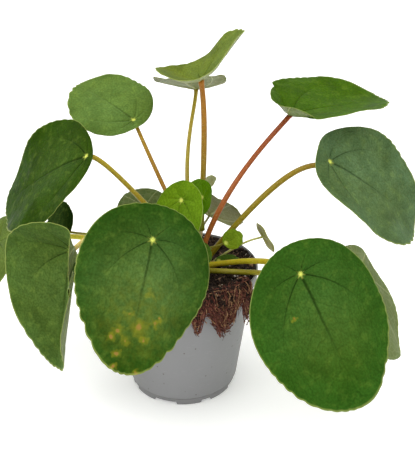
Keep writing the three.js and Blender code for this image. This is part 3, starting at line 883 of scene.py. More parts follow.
@dataclass
class PottingSoil:
    """Peat-based potting soil with crumbs, perlite and a mound at the front right."""

    # Level at the middle, how much higher it lies at the wall, the wall's radius there and its own.
    level: float = 96.4
    edge_rise: float = 1.8
    wall_radius: float = 57.9
    edge_radius: float = 57.7
    # Heading, spread in degrees, and height of the mound and of the bank against the wall.
    mound: Triple = (25.0, 24.0, 4.0)
    bank: Triple = (112.0, 78.0, 4.6)
    # How many lumps of each kind.
    crumbs: int = 2300
    chaff: int = 900
    perlite: int = 150

    def height(self, radius: np.ndarray | float, degrees: np.ndarray | float) -> np.ndarray | float:
        """Give the soil's height.

        Args:
            radius: one or more distances from the pot's axis.
            degrees: the headings with them.

        Returns:
            The height at each.
        """
        # The mound sets in 30 mm from the axis and is full 18 mm further out.
        outward = np.clip((radius - 30) / 18, 0, 1)
        outward = outward * outward * (3 - 2 * outward)
        middle, spread, rise = self.mound
        mound = rise * np.exp(-((degrees - middle) / spread) ** 2) * outward
        turn = np.radians(degrees)
        lumps = np.sin(3 * turn + radius / 7) * np.cos(radius / 5.5 + 2 * turn)
        # Against the wall at the right and the back the soil is heaped nearly up to the rim.
        middle, spread, rise = self.bank
        near = np.clip((radius - 42) / 15, 0, 1)
        bank = rise * np.exp(-(np.abs(degrees - middle) / spread) ** 6) * near ** 2
        return self.level + self.edge_rise * (radius / self.wall_radius) ** 2 + mound + 0.6 * lumps + bank

    def build(self) -> BMesh:
        """Spin the ball of soil and roughen its top.

        Returns:
            The soil.
        """
        sides = finer([(0, 5.7), (41.3, 5.7), (43.1, 7.7), (55.2, 95.5), (self.edge_radius, 96.8)], 8.0)
        top = finer([(self.edge_radius - 0.3, 97.4), (0.0, 97.4)], 1.3)
        bm = spun(sides + top, 180)
        places = places_of(bm)
        upper = places[:, 2] > 97.0
        heights = self.height(*polar(places))
        rough = relief(places, 7.0, 1.3, 2, 4) + relief(places, 2.2, 0.5, 3, 2)
        places[:, 2] = np.where(upper, heights + rough, places[:, 2])
        put(bm, places)
        return bm

    def scatter(self, count: int, sizes: Pair, seed: int, shape: Pair, spread: float = 57.0) -> BMesh:
        """Scatter small lumps over the soil.

        Args:
            count: how many.
            sizes: smallest and largest radius.
            seed: seeds the places.
            shape: how long and how flat a lump may be.
            spread: how far from the pot's axis they lie.

        Returns:
            All the lumps.
        """
        rng = np.random.default_rng(seed)
        bm = bmesh.new()
        for _ in range(count):
            radius = spread * math.sqrt(rng.random())
            degrees = rng.uniform(-180, 180)
            size = sizes[0] + (sizes[1] - sizes[0]) * rng.random() ** 2.5
            way = heading(degrees)
            level = float(self.height(radius, degrees))
            place = Vector((way.x * radius, way.y * radius, level + 0.35 * size))
            add_lump(bm, rng, place, size, (1.0, shape[0]), (shape[1], 0.9), 0.22)
        return bm

    def dress(self, bench: Bench) -> None:
        """Publish the soil, its crumbs and the perlite.

        Args:
            bench: where pieces are made.
        """
        # Moist peat: almost black, crumbly, matt. Bark chaff: tan and dry. Expanded perlite: chalk white.
        peat = Grain("moist_peat", "#43342a", "#070504", 3.0, 0.8, 0.95, 0.6).make()
        chaff = Grain("bark_chaff", "#b8977c", "#4a2e20", 2.2, 0.7, 0.9, 0.4).make()
        perlite = Grain("expanded_perlite", "#eeeae0", "#b5ad9f", 2.0, 0.5, 0.9, 0.3).make()
        bench.publish(self.build(), "soil_ball", [peat], ("soil",))
        for name, count, sizes, seed, shape, finish in (
            ("soil_crumbs", self.crumbs, (0.5, 2.2), 5, (1.2, 0.5), peat),
            ("soil_chaff", self.chaff, (0.4, 1.2), 8, (3.0, 0.3), chaff),
            ("soil_perlite", self.perlite, (0.4, 1.1), 6, (1.2, 0.7), perlite),
        ):
            bench.publish(self.scatter(count, sizes, seed, shape), name, [finish])


# Coconut fibre


@dataclass
class CoirClump:
    """Ragged clump of coconut fibre that hangs over the rim at the front right."""

    # Headings of its left and right end.
    start: float = -2.0
    end: float = 56.0
    steps: int = 116
    # Hanging tails: heading, half width in degrees, and drop.
    tails: tuple[Triple, ...] = ((9.5, 3.6, 13.0), (29.0, 8.5, 17.0), (51.0, 4.5, 16.0))
    # It lies on the rim of the pot: that one's level and radii, with a little room.
    rim: float = 104.3
    outside: float = 60.5
    inside: float = 57.6
    # Length along the rim, depth over it, and the stride from point to point of a strip.
    length: float = 58.0
    depth: float = 26.0
    stride: float = 1.5
    seed: int = 21

    def section(self, share: float) -> list[Pair]:
        """Give the clump's section at a share of its way round.

        Args:
            share: 0 at its left end, 1 at its right end.

        Returns:
            Points of radius and height, all the way round.
        """
        step = 14 * share
        lump = 1.2 * math.sin(step * 2.4)
        tail = 1.2 * math.cos(step * 1.7)
        degrees = self.start + share * (self.end - self.start)
        hang = max(drop * math.exp(-abs((degrees - middle) / half) ** 3) for middle, half, drop in self.tails)
        bottom = 96 - hang
        swell = 0.2 + 0.35 * math.sin(math.pi * share)
        return [
            (49 - 2 * swell, 103.2), (self.inside, 103.6), (self.inside + 0.4, self.rim + 0.1),
            (self.outside, self.rim + 0.1), (self.outside, 98.0), (self.outside, bottom + 4),
            (self.outside + 0.8, bottom), (self.outside + 1.2 * swell + 0.8, bottom + 2),
            (self.outside + (4.0 + lump) * swell, 98 + tail), (self.outside + (3.6 - lump) * swell, 103),
            (self.outside - 1, self.rim + 1.6 + (1.6 + tail) * swell),
            (self.inside - 4, self.rim + 1.2 + (1.4 + lump) * swell),
            (50 - 2 * swell, 104.4 + 0.8 * swell), (49 - 2 * swell, 103.2),
        ]

    def build(self) -> BMesh:
        """Extrude the section round the rim and roughen it.

        Returns:
            The clump's felted core.
        """
        corners = len(finer(self.section(0.5), 1.4)) - 1
        bm = bmesh.new()
        loop = bmesh.ops.create_circle(bm, cap_ends=True, radius=1.0, segments=corners)["verts"]
        edges = bm.edges[:]
        for step in range(self.steps + 1):
            share = step / self.steps
            way = heading(self.start + share * (self.end - self.start))
            if step:
                loop, edges = extruded(bm, edges)
            outline = np.array(self.section(share))
            gone = gone_along(outline)
            at = np.linspace(0, gone[-1], corners, endpoint=False)
            radii, levels = np.interp(at, gone, outline[:, 0]), np.interp(at, gone, outline[:, 1])
            for vert, radius, level in zip(loop, radii, levels):
                vert.co = Vector((way.x * radius, way.y * radius, level))
        bmesh.ops.contextual_create(bm, geom=edges)
        bmesh.ops.recalc_face_normals(bm, faces=bm.faces[:])
        places = places_of(bm)
        radius, _ = polar(places)
        proud = np.clip((radius - self.outside - 0.2) / 1.5, 0, 1) + (places[:, 2] > self.rim + 0.6)
        rough = (relief(places, 5.0, 1.2, 5, 3) + relief(places, 1.6, 0.7, 6, 2)) * np.clip(proud, 0, 1)
        normals = np.array([vert.normal for vert in bm.verts])
        put(bm, places + normals * rough[:, None])
        return bm

    def surface(self, share: float, along: float, lift: float) -> Vector:
        """Give a point over the clump's outer face.

        Args:
            share: 0 at its left end, 1 at its right end.
            along: 0 at the bottom edge of the hanging part, 1 at the inner edge on the soil.
            lift: height over the face.

        Returns:
            The point.
        """
        share = min(1.0, max(0.0, share))
        face = np.array(self.section(share)[6:13])
        gone = gone_along(face)
        at = min(1.0, max(0.0, along)) * gone[-1]
        radius, level = np.interp(at, gone, face[:, 0]), np.interp(at, gone, face[:, 1])
        # Below the bottom edge a strip hangs straight down.
        drop = min(0.0, along) * 22
        # The lift points outwards on the hanging part and mostly up on the rim.
        out = np.interp(level, [97, 106], [1.0, 0.25])
        way = heading(self.start + share * (self.end - self.start)) * (radius + lift * out)
        return Vector((way.x, way.y, level + drop + lift * (1 - out)))

    def strands(self, count: int, thick: float, reach: int, seed: int) -> BMesh:
        """Lay tangled strips over the clump, some with hanging or standing ends.

        Args:
            count: how many.
            thick: half their width.
            reach: how many points a strip has.
            seed: seeds their ways.

        Returns:
            The strips as thin tubes.
        """
        rng = np.random.default_rng(seed)
        curve = bpy.data.curves.new("coir_strands", "CURVE")
        curve.dimensions = "3D"
        curve.bevel_depth = thick
        curve.bevel_resolution = 0
        curve.use_fill_caps = True
        for _ in range(count):
            share, along = rng.beta(1.6, 1.2), rng.beta(1.0, 2.7)
            way, lift = rng.uniform(0, math.tau), rng.uniform(0.0, 2.2)
            spline = curve.splines.new("POLY")
            spline.points.add(reach - 1)
            for step, point in enumerate(spline.points):
                end = step in (0, reach - 1)
                point.co = (*self.surface(share, along, lift + end * rng.uniform(-0.6, 1.4)), 1.0)
                point.radius = rng.uniform(0.6, 1.3) * (0.45 if end else 1.0)
                way += rng.normal(0, 0.65)
                lift = min(3.2, max(-0.2, lift + rng.normal(0, 0.6)))
                share += self.stride * math.cos(way) / self.length
                along += self.stride * math.sin(way) / self.depth
        holder = bpy.data.objects.new("coir_strands", curve)
        mesh = bpy.data.meshes.new_from_object(holder)
        bm = bmesh.new()
        bm.from_mesh(mesh)
        bpy.data.objects.remove(holder)
        bpy.data.curves.remove(curve)
        bpy.data.meshes.remove(mesh)
        bmesh.ops.recalc_face_normals(bm, faces=bm.faces[:])
        return bm

    def crumbs(self, count: int, seed: int, scale: float = 1.0) -> BMesh:
        """Strew crumbs of soil over the clump, most of them near the soil and at its left end.

        Args:
            count: how many.
            seed: seeds their places.
            scale: their size, 1 for peat.

        Returns:
            All the crumbs.
        """
        rng = np.random.default_rng(seed)
        bm = bmesh.new()
        for _ in range(count):
            share = rng.beta(1.0, 1.4)
            along = 1 - rng.random() * (0.85 if share < 0.3 else 0.6)
            size = scale * (0.4 + 1.1 * rng.random() ** 2)
            place = self.surface(share, along, rng.uniform(0.2, 2.4))
            add_lump(bm, rng, place, size, (0.9, 1.7), (0.4, 0.9), 0.2)
        return bm

    def dress(self, bench: Bench) -> None:
        """Publish the clump, its strips and the crumbs on it.

        Args:
            bench: where pieces are made.
        """
        # Wet coconut pith: crumbly, coloured near black, partly for its own dark tone and partly as painted
        # shade in the gaps between the strips. Husk strips: red-brown, the dry ones tan and dull. On them lie
        # crumbs of peat, dark and matt, and chips of bark, pale and dry.
        pith_and_gap_shade = Grain("coconut_pith_and_gap_shade", "#341c13", "#0b0403", 3.0, 0.9, 0.95, 0.8).make()
        husk = Grain("husk_fibre", "#82493a", "#1c0b06", 1.8, 0.6, 0.75, 0.2).make()
        dry = Grain("dry_husk_fibre", "#bb9068", "#5a3524", 2.5, 0.6, 0.8, 0.2).make()
        soil = Grain("clinging_peat", "#3e2d24", "#0a0605", 3.0, 0.8, 0.95, 0.6).make()
        chips = Grain("pale_bark_chips", "#c4a88c", "#6e5240", 2.0, 0.6, 0.9, 0.3).make()
        bench.publish(self.build(), "coir_mat", [pith_and_gap_shade], ("coir_overhang",))
        bench.publish(self.strands(290, 0.42, 9, self.seed), "coir_strips", [husk])
        bench.publish(self.strands(120, 0.34, 8, self.seed + 1), "coir_dry_strips", [dry])
        bench.publish(self.strands(300, 0.13, 9, self.seed + 2), "coir_hairs", [husk])
        bench.publish(self.crumbs(1300, self.seed + 3), "coir_crumbs", [soil])
        bench.publish(self.crumbs(170, self.seed + 4, 0.5), "coir_chips", [chips])


# Leaves


@dataclass(frozen=True)
class Bend:
    """How far a blade turns down, or up when negative, towards its tip, back, left and right."""

    tip: float = 0.0
    back: float = 0.0
    left: float = 0.0
    right: float = 0.0
    # Share of the way to the margin over which it turns.
    span: float = 1.0


@dataclass(frozen=True)
class Stem:
    """A leaf stalk: thickness, foot on the trunk, the way it leaves, its curve's handles, and its colours."""

    size: float
    # Heading and level of its foot on the trunk, and heading and rise of the way that it leaves.
    foot: float
    level: float
    leave: float
    rise: float
    # Length of its curve's first and last handle, and how squarely it meets the blade, from 0 to 1.
    first: float
    last: float
    square: float = 0.45
    # Tints at its foot and at its top, matched to how the stalk looks where it runs, so that besides its own
    # colour they hold painted light and shade.
    low: str = "#8a8430"
    high: str = "#958f35"


@dataclass(frozen=True)
class Leaf:
    """One leaf: where its stalk meets the blade, the way that faces, its outline, bends, stalk and colour."""

    place: str
    hub: Triple
    # Heading and rise of the way that the upper face looks, and the turn of the tip about it, in degrees.
    look: float
    tilt: float
    roll: float
    # The outline's length and width, the share of it behind the hub, and how much it is egg-shaped.
    length: float
    width: float
    behind: float
    egg: float
    bend: Bend
    stem: Stem
    # Its tint, matched to how the leaf looks where it hangs: its own green together with painted light and
    # shade.
    tint: str = "#4d6b28"
    age: BladeAge = BladeAge.MATURE

    def frame(self) -> tuple[Vector, Vector, Vector, Vector]:
        """Give the blade's frame.

        Returns:
            Its hub, and unit vectors towards its tip, across it and out of its upper face.
        """
        turn, lift, roll = math.radians(self.look), math.radians(self.tilt), math.radians(self.roll)
        normal = heading(self.look, self.tilt)
        down = Vector((math.sin(lift) * math.sin(turn), -math.sin(lift) * math.cos(turn), -math.cos(lift)))
        tip = down * math.cos(roll) + normal.cross(down) * math.sin(roll)
        return Vector(self.hub), tip, normal.cross(tip), normal


FLAT = Bend()
# Each tint was matched to how its leaf or stalk looks where it hangs, so besides the plant's own colours the
# tints hold painted light and shade: leaves in the shade of others, such as left_back and top_back, have
# darker tints, and crown_back a pale one that paints light on it.
LEAVES = (
    Leaf("upper_left", (-37, 60, 205), -10, 59, -127, 80, 66, 0.12, 0.07, Bend(6, 2),
         Stem(3.4, -130, 114, -132, 52, 38, 7, 0.43, "#8c4d08", "#a98611"), "#627f3b", BladeAge.YOUNG),
    Leaf("left", (-69, 0, 195), -52, 45, -52, 110, 92, 0.05, 0.1, Bend(21, 8, -19, -1),
         Stem(4, -102, 107, -101, 51, 130, 8, 0.45, "#877411", "#af9a21"), "#2c4902"),
    # Painted shade: this leaf in the left leaf's shade gets a near-black tint and a skin without sheen.
    Leaf("left_back", (-100, 61, 106), -63, 25, -75, 59, 50, 0.2, 0, FLAT,
         Stem(2.2, -128, 102, -123, 25, 51, 26), "#0f2805", BladeAge.IN_PAINTED_SHADE),
    Leaf("left_front", (-78.5, -44, 138.5), -24, 1, -8, 121, 101, 0.21, 0.33, Bend(-7, -26, -3, -66, 0.21),
         Stem(3.8, -52, 107, -71, 52, 93, 7, 0.47, "#cb9c59", "#dfc976"), "#4d682d"),
    Leaf("far_left", (-148.8, 23.4, 115), -54, 50, -7, 98, 79, 0.24, 0.04, Bend(10, 0, 14, 8),
         Stem(4, -78, 101, -89, 25, 126, 19, 0.45, "#e3d146", "#e5dd4d"), "#647839"),
    Leaf("front", (-18, -80, 164), 26, 22, -25, 110, 89, 0.21, 0.23, Bend(-2, 5, 9, 5),
         Stem(4.4, -8, 106, -28, 15, 50, 26, 0.45, "#9a9038", "#a59a3c"), "#2b5315", BladeAge.SPECKLED),
    Leaf("back_left", (-32, 86, 116), 170, 12, -12, 71, 61, 0.3, 0, FLAT,
         Stem(3, -160, 106, -156, 40, 39, 20), "#365f03"),
    Leaf("top", (16, 24, 245.3), -92, 64, 181, 82, 71, 0.43, -0.17, Bend(-28, -47, -13, -15, 0.46),
         Stem(4.4, 150, 119, 156, 83, 48, 26, 0.45, "#697203", "#ab6c1e"), "#71812e"),
    Leaf("top_back", (14.6, 92, 222.5), 181, 72, 162, 67.7, 60.4, 0.23, 0, Bend(-7, -4, -17, -17, 0.8),
         Stem(3.4, -160, 118, -154, 58, 69, 20, 0.45, "#736803", "#c1ac3f"), "#4b4c03"),
    Leaf("upper_right", (90, 52, 211), -1, 80, 107.5, 102.6, 96, 0.18, 0.23, Bend(0, -42, -22, -13, 0.3),
         Stem(4.2, 124, 112, 125, 70, 63, 6, 0.42, "#ab6223", "#984721"), "#436701", BladeAge.YOUNG),
    Leaf("right", (114.4, 9.2, 184.8), 40, 43.5, 43.3, 114.6, 93.5, 0.14, -0.03,
         Bend(12, -12, -17, -30, 0.92), Stem(4.6, 112, 102, 104, 50, 129, 18, 0.45, "#887d03", "#8f7405"),
         "#5b7550"),
    Leaf("right_front", (80, -75, 134), 15, 26, 18, 121, 100, 0.18, 0.09, Bend(-5, 0, 1, 11),
         Stem(4.4, 66, 102, 65, 21, 76, 19, 0.45, "#d6c628", "#827016"), "#335c1a", BladeAge.MARKED),
    Leaf("right_low", (138.8, -20.6, 100.2), 105.6, 14, -23, 95.4, 84.6, 0.28, 0.08, Bend(1, 1, 4, 1),
         Stem(4, 30, 100, 0, 26.5, 40, 70, 0, "#857f1c", "#b3a51e"), "#5c7630"),
    Leaf("centre", (0, -21, 167), -40, 31, 8, 55, 44, 0.27, -0.04, FLAT,
         Stem(3, -35, 114, -12, 55, 23, 12, 0.45, "#8a7a26", "#81901c"), "#688c14", BladeAge.YOUNG),
    Leaf("centre_right", (16, 0, 160), 42, 1, -89, 37, 33, 0.3, 0.04, FLAT,
         Stem(2.4, 50, 119, 71, 95, 15, 9, 0.6, "#94502a", "#9a5c34"), "#5a8901", BladeAge.YOUNG),
    Leaf("crown_back", (22, 60, 146), 209, 36, 158, 22, 19, 0.24, 0, FLAT,
         Stem(1.6, 178, 117, 175, 45, 27, 13), "#dadc9e"),
    Leaf("back_right", (26, 85, 109), 140, 37, -131, 53, 47, 0.09, -0.03, FLAT,
         Stem(2.2, 165, 110, 173, 45, 30, 18, 0.45, "#857a40", "#9a9468"), "#736204"),
    Leaf("soil_round", (34, -8, 125.5), 28, 41, 103, 19, 16, 0.12, 0, FLAT,
         Stem(1.6, 78, 116, 77, 25, 9, 7), "#7c971e", BladeAge.YOUNG),
    Leaf("soil_right", (66, 18, 118), 105, 24, -112, 32, 27, 0.25, 0, FLAT,
         Stem(1.8, 98, 98.5, 107, 31, 47, 7, 0.45, "#b3b262", "#dcde87"), "#cebe05"),
    Leaf("soil_low", (29, -1.5, 106.5), 10, 50, 90, 20, 10, 0.15, 0.1, FLAT,
         Stem(1.4, 62, 107.5, 80, -5, 8, 5, 0.6), "#5a7c2a"),
    Leaf("soil_front", (13, -14, 125), 15, 35, 10, 21, 17, 0.25, 0.1, FLAT,
         Stem(1.8, 20, 112, 14, 40, 8, 6), "#557a26"),
)
# Length of a full-grown blade, and how deep a blade dips over its stalk as a share of its own.
FULL_LENGTH = 110.0
DIMPLE = 0.016


def bent(distance: np.ndarray, reach: np.ndarray, turn: np.ndarray, span: float) -> tuple[np.ndarray, ...]:
    """Lay distances from the hub along arcs that end straight.

    Args:
        distance: signed distances.
        reach: how far the margin is on that side.
        turn: degrees turned down in all.
        span: share of the reach over which the arc turns.

    Returns:
        How far along, how far risen, and the slope.
    """
    curvature = np.radians(np.where(np.abs(turn) < 1e-6, 1e-6, turn)) / (span * reach)
    size = np.abs(distance)
    curved = np.minimum(size, span * reach)
    straight = size - curved
    full = np.radians(turn)
    along = np.sin(curvature * curved) / curvature + straight * np.cos(full)
    drop = (1 - np.cos(curvature * curved)) / curvature + straight * np.sin(full)
    side = np.sign(distance)
    return side * along, -drop, -side * curvature * curved


@dataclass
class LeafBlade:
    """A round blade on the end of its stalk: waved, bent, with sunken veins above and ribs below."""

    leaf: Leaf
    index: int
    # Half the sheet's thickness, the depth of a vein's groove above, and the height of its rib below.
    half: float = 0.34
    groove: float = 0.28
    rib: float = 0.35
    # How much thinner it is at the margin, and how high a full-grown one swells between the veins.
    thinning: float = 0.45
    quilt: float = 0.95
    # Depth of the margin's scallops and their distance; a speckled blade has deeper ones.
    scallop: float = 1.1
    pitch: float = 8.0
    # The margin's slow waves: how many, and their height as a share of the length.
    waves: int = 5
    wave: float = 0.013
    # How far the dimple over the stalk reaches, as a share of the length.
    dimple: float = 0.09
    # Each main vein's angle from the tip at the hub, and how far it curls forwards; last the blade's back.
    veins: tuple[Pair, ...] = ((0, 0), (60, 30), (102, 26), (146, 12), (180, 0))

    def grid(self) -> tuple[int, int]:
        """Give how many sectors and rings the blade has for its size."""
        if self.leaf.length >= 60:
            return 216, 34
        return (132, 24) if self.leaf.length >= 40 else (72, 16)

    def middle(self, share: np.ndarray, angle: np.ndarray) -> tuple[np.ndarray, np.ndarray, np.ndarray]:
        """Give points of the blade's middle surface.

        Args:
            share: 0 at the hub, 1 at the margin.
            angle: angle round the outline.

        Returns:
            The points, and their flat coordinates towards the tip and across.
        """
        leaf, bend = self.leaf, self.leaf.bend
        # The scallops run along the margin, here and there deeper.
        lobes = round(0.5 * math.pi * 0.5 * (leaf.length + leaf.width) / self.pitch)
        uneven = 0.45 + 0.4 * np.sin(3 * angle + self.index) + 0.25 * np.sin(7 * angle - 2 * self.index)
        notch = (1 - np.abs(np.sin(lobes * angle + 1.6 * np.sin(4 * angle)))) * np.clip(uneven, 0, 1)
        deep = 1.5 if leaf.age is BladeAge.SPECKLED else 1.0
        trimmed = share * (1 - deep * self.scallop / (0.5 * leaf.length) * notch * share ** 10)
        u = trimmed * ((0.5 - leaf.behind) * leaf.length + 0.5 * leaf.length * np.cos(angle))
        v = trimmed * 0.5 * leaf.width * np.sin(angle) * (1 - leaf.egg * np.cos(angle))
        reach = np.where(u < 0, leaf.behind, 1 - leaf.behind) * leaf.length
        along, fall, slope = bent(u, reach, np.where(u < 0, bend.back, bend.tip), bend.span)
        sideways, rise, _ = bent(
            v, np.full_like(v, 0.5 * leaf.width), np.where(v < 0, bend.left, bend.right), bend.span)
        first = math.radians(GOLDEN_ANGLE * self.index)
        wave = self.wave * leaf.length * share ** 3 * np.sin(self.waves * angle + first)
        dimple = DIMPLE * leaf.length * np.exp(-(np.hypot(u, v) / (self.dimple * leaf.length)) ** 2)
        rise = rise + wave - dimple
        hub, tip, across, normal = (np.array(part) for part in leaf.frame())
        points = hub + np.outer(along - rise * np.sin(slope), tip) + np.outer(sideways, across)
        return points + np.outer(fall + rise * np.cos(slope), normal), u, v

    def vein_coordinate(
        self, share: np.ndarray, angle: np.ndarray, u: np.ndarray, v: np.ndarray,
    ) -> tuple[np.ndarray, np.ndarray]:
        """Give a coordinate that is whole on each main vein, and the distance to the nearest one.

        Args:
            share: 0 at the hub, 1 at the margin.
            angle: angle round the outline, whose sign tells the two sides of the blade apart.
            u: flat coordinate towards the tip.
            v: flat coordinate across.

        Returns:
            The coordinate, and the distance in millimetres.
        """
        turn = np.where(share > 0, np.abs(np.degrees(np.arctan2(v, u))), np.abs(np.degrees(angle)))
        veins = [start - curl * share ** 1.3 for start, curl in self.veins]
        coordinate, spacing = np.zeros_like(share), np.full_like(share, 30.0)
        # The last stretch counts half, because the blade's two sides meet there between two veins.
        for start, end, step in zip(veins, veins[1:], (1.0, 1.0, 1.0, 0.5)):
            coordinate += step * np.clip((turn - start) / (end - start), 0, 1)
            spacing = np.where((turn >= start) & (turn <= end), (end - start) / step, spacing)
        nearest = np.abs(coordinate - np.round(coordinate))
        distance = nearest * np.radians(spacing) * np.hypot(u, v)
        return np.where(angle < 0, -coordinate, coordinate), distance

    def reliefs(
        self, share: np.ndarray, u: np.ndarray, v: np.ndarray, coordinate: np.ndarray, distance: np.ndarray,
    ) -> tuple[np.ndarray, np.ndarray]:
        """Give the grooves over the veins, and how the blade swells between them.

        Args:
            share: 0 at the hub, 1 at the margin.
            u: flat coordinate towards the tip.
            v: flat coordinate across.
            coordinate: whole on each main vein.
            distance: millimetres to the nearest one.

        Returns:
            The grooves from 0 to 1, and the lift in millimetres.
        """
        size = self.leaf.length / FULL_LENGTH
        fade = np.clip(1.05 - 1.15 * share, 0, 1)
        rank = np.interp(np.abs(np.round(coordinate)), [0, 1, 2, 3], [1.0, 1.0, 0.7, 0.5])
        groove = rank * fade * np.exp(-(distance / (0.8 + 0.4 * size)) ** 2) * np.clip(share / 0.04, 0, 1)
        puff = np.sin(math.pi * np.clip(2 * np.abs(coordinate - np.round(coordinate)), 0, 1) / 2)
        lift = self.quilt * size * puff * np.sin(math.pi * share ** 0.8)
        # Slow waves of some 30 mm and quicker ones of 8 mm run over the blade besides.
        flat = np.stack([u, v, 0 * u], 1)
        lift += relief(flat, 26 * size + 4, 1.1 * size, self.index + 1, 2) * share
        lift += relief(flat, 8.0, 0.34 * size, self.index + 40, 2) * np.sqrt(share)
        return groove, lift

    def thicken(self, bm: BMesh, share: BMLayerItem, groove: BMLayerItem) -> None:
        """Double the sheet into an upper and an under face, and close its margin.

        Args:
            bm: the sheet, with its normals up.
            share: the layer that is 0 at the hub and 1 at the margin.
            groove: the layer with the grooves over the veins.
        """
        copy = bmesh.ops.duplicate(bm, geom=bm.verts[:] + bm.edges[:] + bm.faces[:])["geom"]
        under = [item for item in copy if isinstance(item, BMFace)]
        below = {item for item in copy if isinstance(item, BMVert)}
        for vert in bm.verts:
            thin = self.half * (1 - self.thinning * vert[share] ** 6)
            if vert in below:
                vert.co -= vert.normal * (thin + self.rib * vert[groove])
            else:
                vert.co += vert.normal * (thin - self.groove * vert[groove])
        for face in under:
            face.material_index = 1
        bmesh.ops.reverse_faces(bm, faces=under)
        bmesh.ops.bridge_loops(bm, edges=[edge for edge in bm.edges if edge.is_boundary])
        bmesh.ops.recalc_face_normals(bm, faces=bm.faces[:])

    def build(self) -> BMesh:
        """Build the blade as one closed sheet with its two UV maps.

        Returns:
            The blade, with the upper skin as material 0 and the underside as material 1.
        """
        sectors, rings = self.grid()
        bm = bmesh.new()
        bmesh.ops.create_grid(bm, x_segments=sectors, y_segments=rings, size=1.0)
        flat = places_of(bm)
        angle, share = -math.pi * flat[:, 0], (flat[:, 1] + 1) / 2
        points, u, v = self.middle(share, angle)
        coordinate, distance = self.vein_coordinate(share, angle, u, v)
        veins, plane = bm.loops.layers.uv.new("Veins"), bm.loops.layers.uv.new("Plane")
        bm.verts.index_update()
        for face in bm.faces:
            for loop in face.loops:
                at = loop.vert.index
                loop[veins].uv = (coordinate[at], share[at])
                loop[plane].uv = (u[at] * MM, v[at] * MM)
        groove, lift = self.reliefs(share, u, v, coordinate, distance)
        layers = {}
        for name, values in (("groove", groove), ("lift", lift), ("share", share)):
            layers[name] = bm.verts.layers.float.new(name)
            for vert, value in zip(bm.verts, values):
                vert[layers[name]] = value
        put(bm, points)
        bmesh.ops.remove_doubles(bm, verts=bm.verts[:], dist=1e-4)
        bmesh.ops.recalc_face_normals(bm, faces=bm.faces[:])
        bm.normal_update()
        normal = self.leaf.frame()[3]
        bm.faces.ensure_lookup_table()
        if sum(face.normal.dot(normal) for face in bm.faces) < 0:
            bmesh.ops.reverse_faces(bm, faces=bm.faces[:])
            bm.normal_update()
        for vert in bm.verts:
            vert.co += vert.normal * vert[layers["lift"]]
        bm.normal_update()
        self.thicken(bm, layers["share"], layers["groove"])
        for layer in layers.values():
            bm.verts.layers.float.remove(layer)
        return bm


@dataclass
class LeafStalk:
    """A long curved leaf stalk, flared where it leaves the trunk and where it meets the blade."""

    leaf: Leaf
    trunk: Pair = TRUNK_PLACE
    # How far from the trunk's middle its curve starts, and how far out the stalk itself does.
    root: float = 3.0
    bark: float = 4.6
    # How much wider it is at its foot and at its top.
    foot_flare: float = 0.38
    top_flare: float = 0.22
    sides: int = 14
    steps: int = 36

    def route(self) -> np.ndarray:
        """Give the stalk's centre line from the trunk's surface to the underside of the blade.

        Returns:
            An array of points.
        """
        leaf, stem = self.leaf, self.leaf.stem
        hub, _, _, normal = leaf.frame()
        foot = Vector((*self.trunk, stem.level)) + heading(stem.foot) * self.root
        arrive = ((hub - foot).normalized() * (1 - stem.square) + normal * stem.square).normalized()
        ends = [foot, foot + heading(stem.leave, stem.rise) * stem.first, hub - arrive * stem.last, hub]
        t = np.linspace(0, 1, 400)[:, None]
        weights = [(1 - t) ** 3, 3 * t * (1 - t) ** 2, 3 * t * t * (1 - t), t ** 3]
        line = sum(weight * np.array(end) for weight, end in zip(weights, ends))
        # The curve is cut off just under the blade's dimple, and its last point lies a little inside it.
        under = DIMPLE * leaf.length + 0.35
        below = (line - np.array(hub)) @ np.array(normal) < -under
        outside = np.hypot(line[:, 0] - self.trunk[0], line[:, 1] - self.trunk[1]) > self.bark
        kept = line[(below | (t[:, 0] < 0.5)) & (outside | (t[:, 0] > 0.5))]
        top = np.array(hub) - np.array(normal) * (under - 0.25)
        kept = np.vstack([kept, top])
        gone = gone_along(kept)
        at = np.linspace(0, gone[-1], self.steps)
        return np.stack([np.interp(at, gone, kept[:, axis]) for axis in range(3)], 1)

    def build(self) -> tuple[BMesh, np.ndarray]:
        """Extrude a ring of vertices along the route.

        Returns:
            The stalk, and for each vertex its share of the way up.
        """
        line = self.route()
        size = self.leaf.stem.size / 2
        length = gone_along(line)[-1]
        bm = bmesh.new()
        share_layer = bm.verts.layers.float.new("along")
        bmesh.ops.create_circle(bm, cap_ends=False, radius=1.0, segments=self.sides)
        shape = [vert.co.copy() for vert in bm.verts]
        ring, edges = bm.verts[:], bm.edges[:]
        side = Vector((0.3, 0.2, 1.0))
        normal = self.leaf.frame()[3]
        for step, here in enumerate(line):
            share = step / (self.steps - 1)
            ahead = Vector(line[min(step + 1, self.steps - 1)] - line[max(step - 1, 0)]).normalized()
            if step == self.steps - 1:
                ahead = normal
            side = (side - ahead * side.dot(ahead)).normalized()
            other = ahead.cross(side)
            from_foot, from_top = share * length, (1 - share) * length
            flare = 1 + self.foot_flare * math.exp(-(from_foot / (1.6 * size)) ** 2)
            flare += self.top_flare * math.exp(-(from_top / (1.3 * size)) ** 2)
            radius = size * flare * (1.06 - 0.12 * share) * (1 + 0.03 * math.sin(9 * share + self.leaf.look))
            if step:
                ring, edges = extruded(bm, edges)
            for vert, spot in zip(ring, shape):
                vert.co = Vector(here) + (side * spot.x + other * spot.y) * radius
                vert[share_layer] = share
        ends = [edge for edge in bm.edges if edge.is_boundary]
        bmesh.ops.holes_fill(bm, edges=ends, sides=self.sides)
        bmesh.ops.recalc_face_normals(bm, faces=bm.faces[:])
        along = np.array([vert[share_layer] for vert in bm.verts])
        bm.verts.layers.float.remove(share_layer)
        return bm, along


